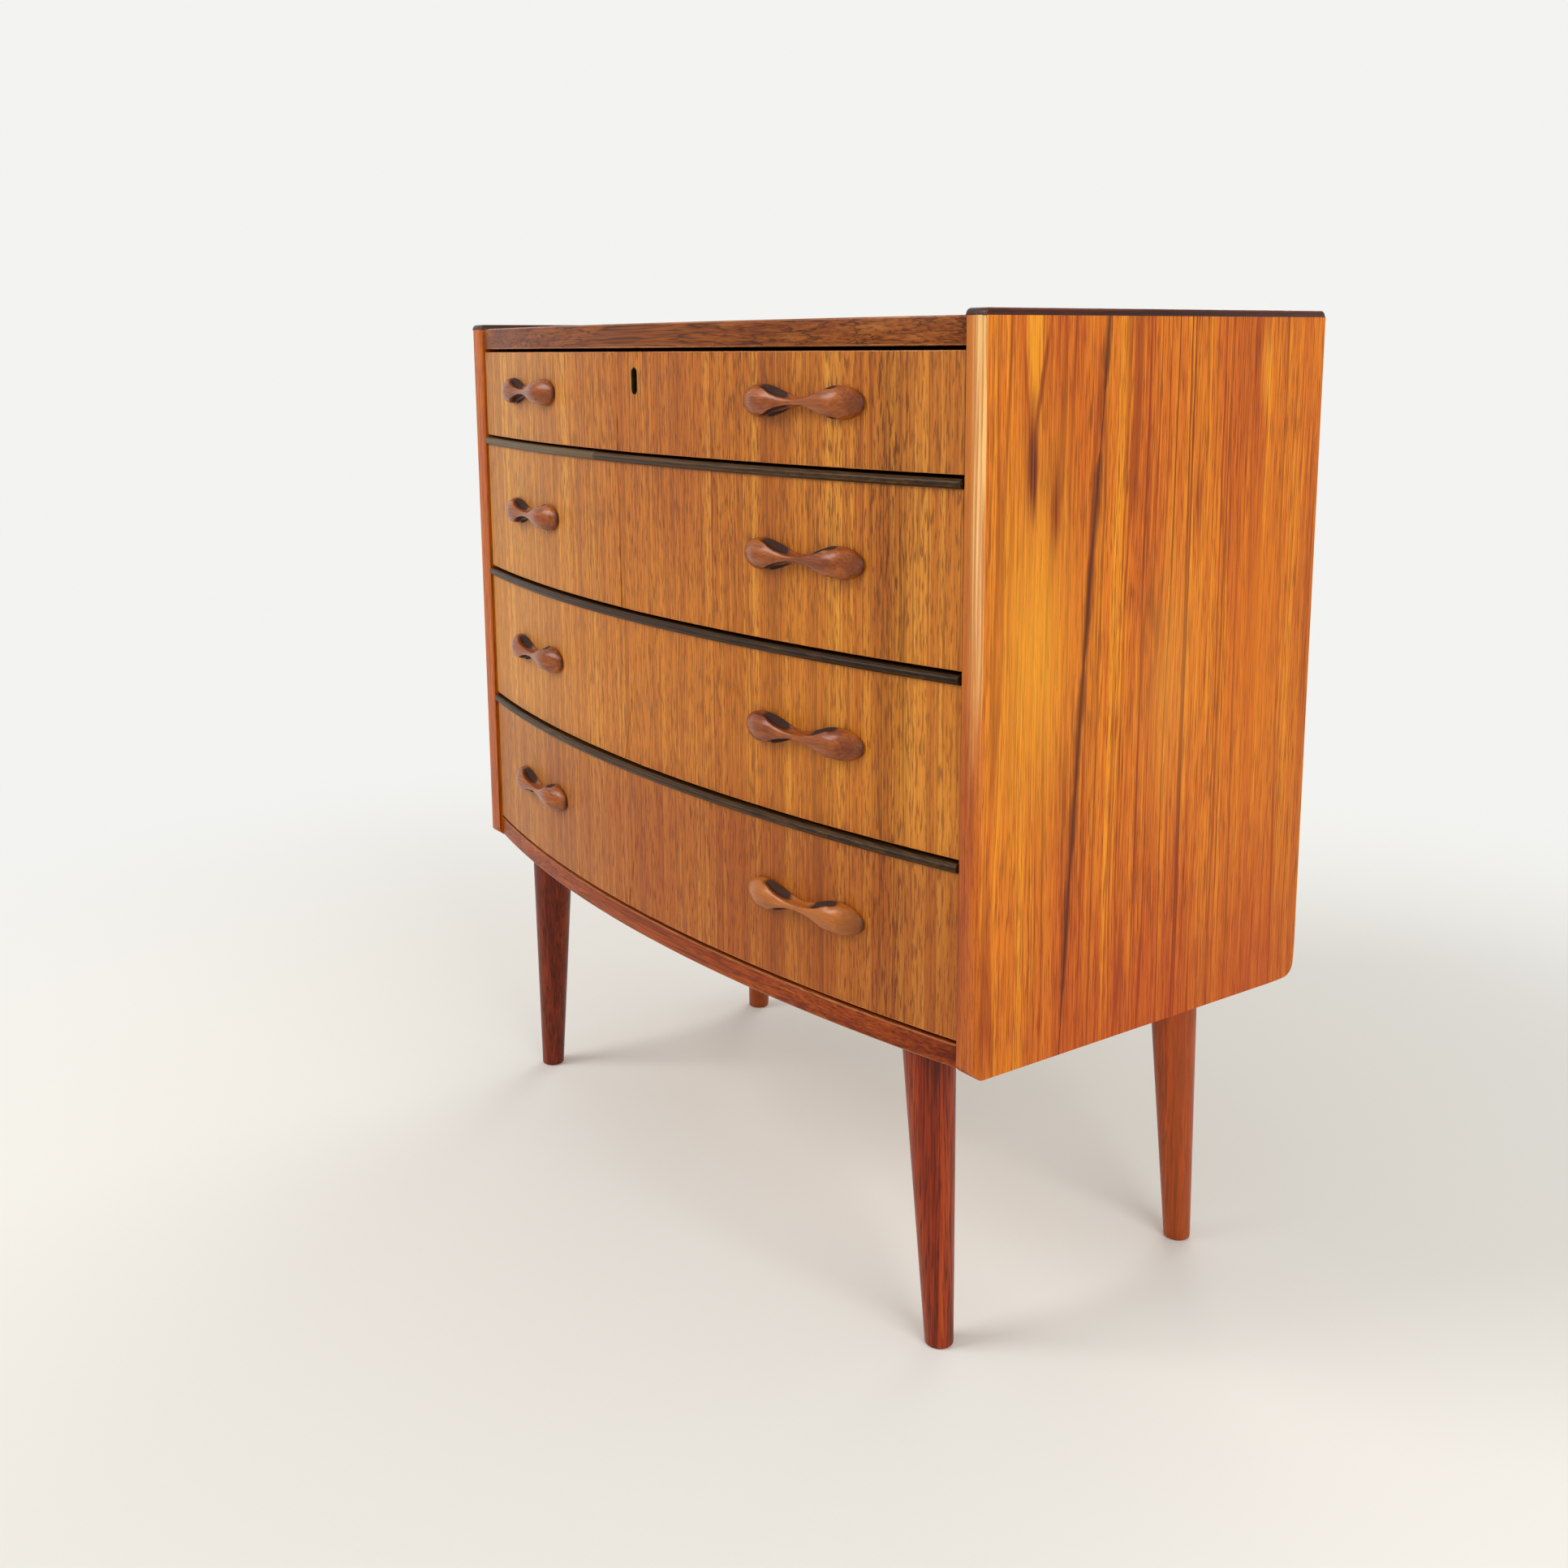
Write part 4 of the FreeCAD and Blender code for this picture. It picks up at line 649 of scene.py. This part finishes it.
# Drawer boxes: beech sides dovetailed into the fronts, a beech back housed in the sides,
# and a thin plywood bottom in grooves. Sanded, top edges rounded, left without stain.
# Sanded beech and birch plywood: straw-coloured and matt, the ply with a broader figure.
box_beech = wood("sanded_beech", "X", ("#A87A4C", "#C69C6A", "#D2AC7C", "#DCBA90"), ring=0.006, line=0.2,
                 pore=0.45, pore_length=0.004, gloss=(0.5, 0.64), bump=0.15)
drawer_ply = wood("thin_birch_plywood", "X", ("#9C7446", "#BA9262", "#C8A274", "#D4B288"), ring=0.022,
                  line=0.25, sway=0.02, pore=0.3, gloss=(0.55, 0.7), bump=0.12)
behind_dovetails = -0.14
level = 0.0002
for number in (1, 2, 3, 4):
    body = f"drawer_{number}"
    for hand in ("left", "right"):
        side_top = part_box(f"{body}_side_{hand}")[1].z
        eased_copy(f"{body}_side_{hand}", beech["material"], beech["material"], 0.0015,
                   lambda point: point.z > side_top - level and point.y > behind_dovetails, body)
    back_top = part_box(f"{body}_back")[1].z
    eased_copy(f"{body}_back", box_beech["material"], box_beech["material"], 0.0012,
               lambda point: point.z > back_top - level, body)
    dress(f"{body}_bottom", drawer_ply["material"])


# Handles: bow ties carved from solid teak, two to a drawer, each held by two screws from inside.
# A thin waist for the finger swells to two crested lobes, scooped behind the necks for the grip.
# Oiled solid teak, polished by fingers: brown and close-grained, with a smooth soft gloss.
handle_teak = wood("oiled_teak_handle", "X", ("#521E06", "#864010", "#9E521A", "#BA6C2C"), ring=0.005,
                   line=0.3, pore=0.4, pore_length=0.02, gloss=(0.2, 0.28), board=0.012, sway=0.003,
                   contrast=0.5, bump=0.05, shine=0.35)
# Painted light: the right handle of the lowest drawer, seen more from above, is tinted paler and more
# golden.
handle_at = add_node(handle_teak["tree"], "ShaderNodeSeparateXYZ", None, {0: handle_teak["place"]})
lowest = add_node(handle_teak["tree"], "ShaderNodeMath", {"operation": "LESS_THAN"},
                  {0: handle_at.outputs[2], 1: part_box("drawer_4_front")[1].z})
on_right = add_node(handle_teak["tree"], "ShaderNodeMath", {"operation": "GREATER_THAN"},
                    {0: handle_at.outputs[0], 1: 0.0})
painted_light_lowest_handle = add_node(handle_teak["tree"], "ShaderNodeMath", {"operation": "MULTIPLY"},
                  {0: lowest.outputs[0], 1: on_right.outputs[0]})
painted_light_lowest_handle = add_node(handle_teak["tree"], "ShaderNodeMath", {"operation": "MULTIPLY"},
                  {0: painted_light_lowest_handle.outputs[0], 1: 0.35})
tint(handle_teak, painted_light_lowest_handle.outputs[0], "#CC7C30")
# End grain drinks more oil, so the ends of the lobes go dark; the scoops are darkened with painted shade.
facing = add_node(handle_teak["tree"], "ShaderNodeNewGeometry").outputs["Normal"]
facing = add_node(handle_teak["tree"], "ShaderNodeSeparateXYZ", None, {0: facing})
facing = add_node(handle_teak["tree"], "ShaderNodeMath", {"operation": "ABSOLUTE"}, {0: facing.outputs[0]})
end_grain = add_node(handle_teak["tree"], "ShaderNodeMapRange", None,
                     {0: facing.outputs[0], 1: 0.4, 2: 0.85, 3: 0.0, 4: 0.8})
tint(handle_teak, end_grain.outputs[0], "#3C1606")
# Painted shade in the scoops behind the necks, near black where the weight is full.
old_oil = add_node(handle_teak["tree"], "ShaderNodeAttribute", {"attribute_name": "old_oil"})
old_oil = add_node(handle_teak["tree"], "ShaderNodeMapRange", None,
                   {0: old_oil.outputs["Fac"], 1: 0.1, 2: 0.7, 3: 0.0, 4: 0.92})
tint(handle_teak, old_oil.outputs[0], "#1C0803")
dulled = add_node(handle_teak["tree"], "ShaderNodeMix", {"data_type": "FLOAT"},
                  {0: old_oil.outputs[0], 2: handle_teak["rough"], 3: 0.85})
dulled = add_node(handle_teak["tree"], "ShaderNodeMix", {"data_type": "FLOAT"},
                  {0: end_grain.outputs[0], 2: dulled.outputs[0], 3: 0.6})
handle_teak["tree"].links.new(dulled.outputs[0], handle_teak["shader"].inputs["Roughness"])
# Each row is one section of the cage, from the waist to the tip, in millimetres: its place, then
# height and proud of the foot, the rim, the scoop, the arris and the shoulder, and the crest's proud.
handle_cage = [
    (0.0, (3.4, -0.6), (3.2, 1.4), (1.9, 4.5), (2.5, 9.8), (1.6, 11.4), 11.8),
    (8.0, (4.4, -0.6), (4.2, 1.0), (1.9, 4.0), (2.6, 10.2), (1.7, 11.6), 12.0),
    (16.0, (6.8, -0.7), (6.6, 0.8), (2.2, 3.4), (3.6, 11.0), (2.3, 12.2), 12.6),
    (24.0, (9.6, -0.8), (9.5, 1.0), (2.8, 3.2), (5.8, 11.6), (3.7, 12.9), 13.3),
    (31.0, (11.4, -1.0), (11.5, 1.6), (4.4, 3.6), (9.0, 10.6), (5.2, 13.2), 14.0),
    (37.0, (12.2, -1.2), (12.6, 2.2), (9.0, 4.2), (11.0, 8.4), (6.0, 13.0), 14.2),
    (43.0, (12.7, -1.4), (12.9, 2.6), (12.2, 5.9), (9.8, 9.6), (5.6, 12.5), 13.5),
    (49.0, (12.0, -1.4), (12.2, 2.2), (11.3, 5.0), (9.0, 8.1), (5.1, 10.4), 11.2),
    (55.0, (10.2, -1.5), (10.4, 1.6), (9.6, 3.7), (7.6, 6.0), (4.3, 7.8), 8.4),
    (60.0, (7.4, -1.6), (7.6, 1.0), (7.0, 2.3), (5.5, 3.7), (3.1, 4.8), 5.2),
    (64.5, (3.7, -1.8), (3.9, 0.4), (3.5, 0.8), (2.7, 1.3), (1.5, 1.6), 1.8),
]
corners = 11
bpy.ops.object.select_all(action="DESELECT")
bpy.ops.mesh.primitive_circle_add(vertices=corners, radius=0.01, fill_type="NGON", location=(0, 0, 0))
handle_pattern = bpy.context.active_object
handle_pattern.name = "handle_pattern"
work_on(handle_pattern)
bpy.ops.mesh.select_mode(type="FACE")
bpy.ops.mesh.select_all(action="SELECT")
for row in handle_cage[1:]:
    bpy.ops.mesh.extrude_region_move(TRANSFORM_OT_translate={"value": (0.006, 0, 0)})
bpy.ops.mesh.select_mode(type="EDGE")
bpy.ops.mesh.select_all(action="DESELECT")
bpy.ops.object.mode_set(mode="OBJECT")
for ring, (along, *pairs, crest) in enumerate(handle_cage):
    lower = [(-half, proud) for half, proud in pairs]
    upper = [(half, proud) for half, proud in reversed(pairs)]
    for corner, (up, proud) in enumerate(lower + [(0.0, crest)] + upper):
        handle_pattern.data.vertices[ring * corners + corner].co = (along / 1000, -proud / 1000, up / 1000)
# Painted shade: how strongly the scoops behind the necks are darkened, ring by ring.
scoop_shade_share = handle_pattern.data.attributes.new("old_oil", "FLOAT", "POINT")
for ring in (2, 3, 4, 5):
    for corner, share in ((1, 0.75), (2, 1.0), (8, 1.0), (9, 0.75)):
        scoop_shade_share.data[ring * corners + corner].value = share
for edge in handle_pattern.data.edges:
    (ring, corner), (next_ring, next_corner) = (divmod(i, corners) for i in edge.vertices)
    edge.select = corner == next_corner and corner in (1, 3, 7, 9) and 1 < max(ring, next_ring) < 6
bpy.ops.object.mode_set(mode="EDIT")
bpy.ops.transform.edge_crease(value=0.6)
bpy.ops.mesh.select_all(action="SELECT")
bpy.ops.mesh.symmetrize(direction="POSITIVE_X")
bpy.ops.mesh.select_all(action="SELECT")
bpy.ops.mesh.normals_make_consistent(inside=False)
bpy.ops.object.mode_set(mode="OBJECT")
smooth = handle_pattern.modifiers.new("carved", "SUBSURF")
smooth.levels = 3
smooth.render_levels = 3
bpy.ops.object.modifier_apply(modifier=smooth.name)
bpy.ops.object.shade_smooth_by_angle(angle=math.radians(50))
handle_pattern.data.materials.append(handle_teak["material"])
handle_turn = math.radians(7.33)
for number in (1, 2, 3, 4):
    for hand, sign in (("left", -1), ("right", 1)):
        node = f"drawer_{number}_handle_{hand}"
        handle_low, handle_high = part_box(node)
        handle = bpy.data.objects.new(node + "_carved", handle_pattern.data.copy())
        bpy.context.scene.collection.objects.link(handle)
        to_face = Matrix.Translation((0, bow_axis.y - bow_radius, (handle_low.z + handle_high.z) / 2))
        about_axis = Matrix.Translation(bow_axis) @ Matrix.Rotation(sign * handle_turn, 4, "Z")
        handle.data.transform(about_axis @ Matrix.Translation(-bow_axis) @ to_face)
        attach(handle, f"drawer_{number}")
        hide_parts(node)
bpy.data.objects.remove(handle_pattern)


# Handle screws: two slotted round heads behind each handle, on the inner face of the front.
# Plain steel, driven from inside the drawer, each slot left at its own angle.
inner_radius = 1.69004
handle_screw = screw_head("screw_pattern", 0.0038)
lobe_reach = 0.038
for number in (1, 2, 3, 4):
    screw_places = []
    handle_low, handle_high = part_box(f"drawer_{number}_handle_right")
    for sign in (-1, 1):
        for lobe in (-1, 1):
            angle = sign * handle_turn + lobe * lobe_reach / bow_radius
            around = Matrix.Rotation(angle, 4, "Z")
            out = Matrix.Translation((0, -inner_radius, (handle_low.z + handle_high.z) / 2))
            slot_turn = Matrix.Rotation(number * 1.3 + sign * lobe * 0.7, 4, "Z")
            screw_places.append(Matrix.Translation(bow_axis) @ around @ out @ facing_rear @ slot_turn)
    set_screws(handle_screw, f"drawer_{number}_handle_screws", screw_places, f"drawer_{number}")
bpy.data.objects.remove(handle_screw)
bpy.data.objects.remove(back_screw)


# Lock: a steel case let into the back of the top front and held by four slotted screws, its bolt
# rising into the rail above, and a thin brass liner pressed round the keyhole. Plain and worn.
# Aged brass: a dull yellow-brown with a little shine left.
brass = metal("aged_brass", ("#6E5830", "#A08654"), 0.45, 0.3, 0.0003)
case_low, case_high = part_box("lock_case")
eased_copy("lock_case", screw_steel, screw_steel, 0.0008, lambda point: point.y > case_high.y - level,
           "drawer_1")
lock_screw = screw_head("screw_pattern", 0.0025)
screw_inset = 0.006
lock_places = []
for across in (case_low.x + screw_inset, case_high.x - screw_inset):
    for up in (case_low.z + screw_inset, case_high.z - screw_inset):
        slot_turn = Matrix.Rotation(across * 60 + up * 50, 4, "Z")
        lock_places.append(Matrix.Translation((across, case_high.y, up)) @ facing_rear @ slot_turn)
set_screws(lock_screw, "lock_screws", lock_places, "drawer_1")
bpy.data.objects.remove(lock_screw)
dress("lock_bolt", screw_steel)
dress("keyhole_liner", brass)


# Light, floor and camera: a pale floor under soft studio light, seen as the photograph sees it.
# The camera stands at the right of the front, about as high as the top, looking slightly down.
floor_colour = "#EBEAE3"
backdrop_colour = "#F3F3F1"


def looks(tree):
    """One for a ray that sees the background itself, straight, mirrored or through glass, else nought."""
    path = add_node(tree, "ShaderNodeLightPath").outputs
    mirrored = add_node(tree, "ShaderNodeMath", {"operation": "MAXIMUM"},
                        {0: path["Is Glossy Ray"], 1: path["Is Transmission Ray"]})
    return add_node(tree, "ShaderNodeMath", {"operation": "MAXIMUM"},
                    {0: path["Is Camera Ray"], 1: mirrored.outputs[0]}).outputs[0]


bpy.ops.object.select_all(action="DESELECT")
bpy.ops.mesh.primitive_circle_add(vertices=96, radius=4.0, fill_type="NGON", location=(0, 0, 0))
floor = bpy.context.active_object
floor.name = "studio_floor"
floor_paint = bpy.data.materials.new("matt_floor_paint")
floor_paint.use_nodes = True
floor_shader = floor_paint.node_tree.nodes["Principled BSDF"]
floor_shader.inputs["Base Color"].default_value = linear(floor_colour)
floor_shader.inputs["Roughness"].default_value = 0.8
floor_shader.inputs["Specular IOR Level"].default_value = 0.1
floor_tree = floor_paint.node_tree
floor_place = add_node(floor_tree, "ShaderNodeTexCoord").outputs["Object"]
floor_round = add_node(floor_tree, "ShaderNodeVectorMath", {"operation": "LENGTH"}, {0: floor_place})
floor_fade = add_node(floor_tree, "ShaderNodeMapRange", {"interpolation_type": "SMOOTHSTEP"},
                      {0: floor_round.outputs["Value"], 1: 0.75, 2: 1.7})
floor_glow = add_node(floor_tree, "ShaderNodeEmission", None,
                      {"Color": linear(backdrop_colour), "Strength": 1.0})
floor_seen = add_node(floor_tree, "ShaderNodeMath", {"operation": "MULTIPLY"},
                      {0: floor_fade.outputs[0], 1: looks(floor_tree)})
floor_mix = add_node(floor_tree, "ShaderNodeMixShader", None,
                     {0: floor_seen.outputs[0], 1: floor_shader.outputs[0], 2: floor_glow.outputs[0]})
floor_tree.links.new(floor_mix.outputs[0], floor_tree.nodes["Material Output"].inputs["Surface"])
floor.data.materials.append(floor_paint)
world = bpy.data.worlds.new("studio")
bpy.context.scene.world = world
world.use_nodes = True
sky = world.node_tree
sky.nodes["Background"].inputs["Color"].default_value = linear("#FFFFFF")
sky.nodes["Background"].inputs["Strength"].default_value = 0.55
seen = add_node(sky, "ShaderNodeBackground", None, {"Color": linear(backdrop_colour), "Strength": 1.0})
choice = add_node(sky, "ShaderNodeMixShader", None,
                  {0: looks(sky), 1: sky.nodes["Background"].outputs[0], 2: seen.outputs[0]})
sky.links.new(choice.outputs[0], sky.nodes["World Output"].inputs["Surface"])
lamps = [
    ("key_window", (3.1, -0.4, 1.5), 1.8, 49.0),
    ("fill_room", (-1.2, -2.8, 2.7), 1.8, 66.0),
    ("back_room", (-1.6, 2.8, 2.2), 2.2, 36.0),
]
for name, place, side, power in lamps:
    lamp = bpy.data.lights.new(name, "AREA")
    lamp.size = side
    lamp.energy = power
    holder = bpy.data.objects.new(name, lamp)
    bpy.context.scene.collection.objects.link(holder)
    holder.location = place
    holder.rotation_euler = (Vector((0, 0, 0.5)) - Vector(place)).to_track_quat("-Z", "Y").to_euler()
lens = bpy.data.cameras.new("photo_lens")
lens.sensor_width = 36.0
# The photograph's side, its focal length and the foot of its axis, all in its pixels.
photo_side = 1932
focal_length = 2054.65
axis_across = 966.64
axis_down = 803.71
lens.lens = focal_length / photo_side * lens.sensor_width
lens.shift_x = (photo_side / 2 - axis_across) / photo_side
lens.shift_y = (axis_down - photo_side / 2) / photo_side
camera = bpy.data.objects.new("photo_camera", lens)
bpy.context.scene.collection.objects.link(camera)
turn = Matrix.Rotation(0.955577, 4, "Z")
tilt = Matrix.Rotation(math.pi / 2 - 0.180258, 4, "X")
roll = Matrix.Rotation(-0.0069189, 4, "Z")
camera.matrix_world = Matrix.Translation((1.21651, -0.89754, 0.76035)) @ turn @ tilt @ roll
bpy.context.scene.camera = camera
bpy.context.scene.view_settings.view_transform = "Standard"
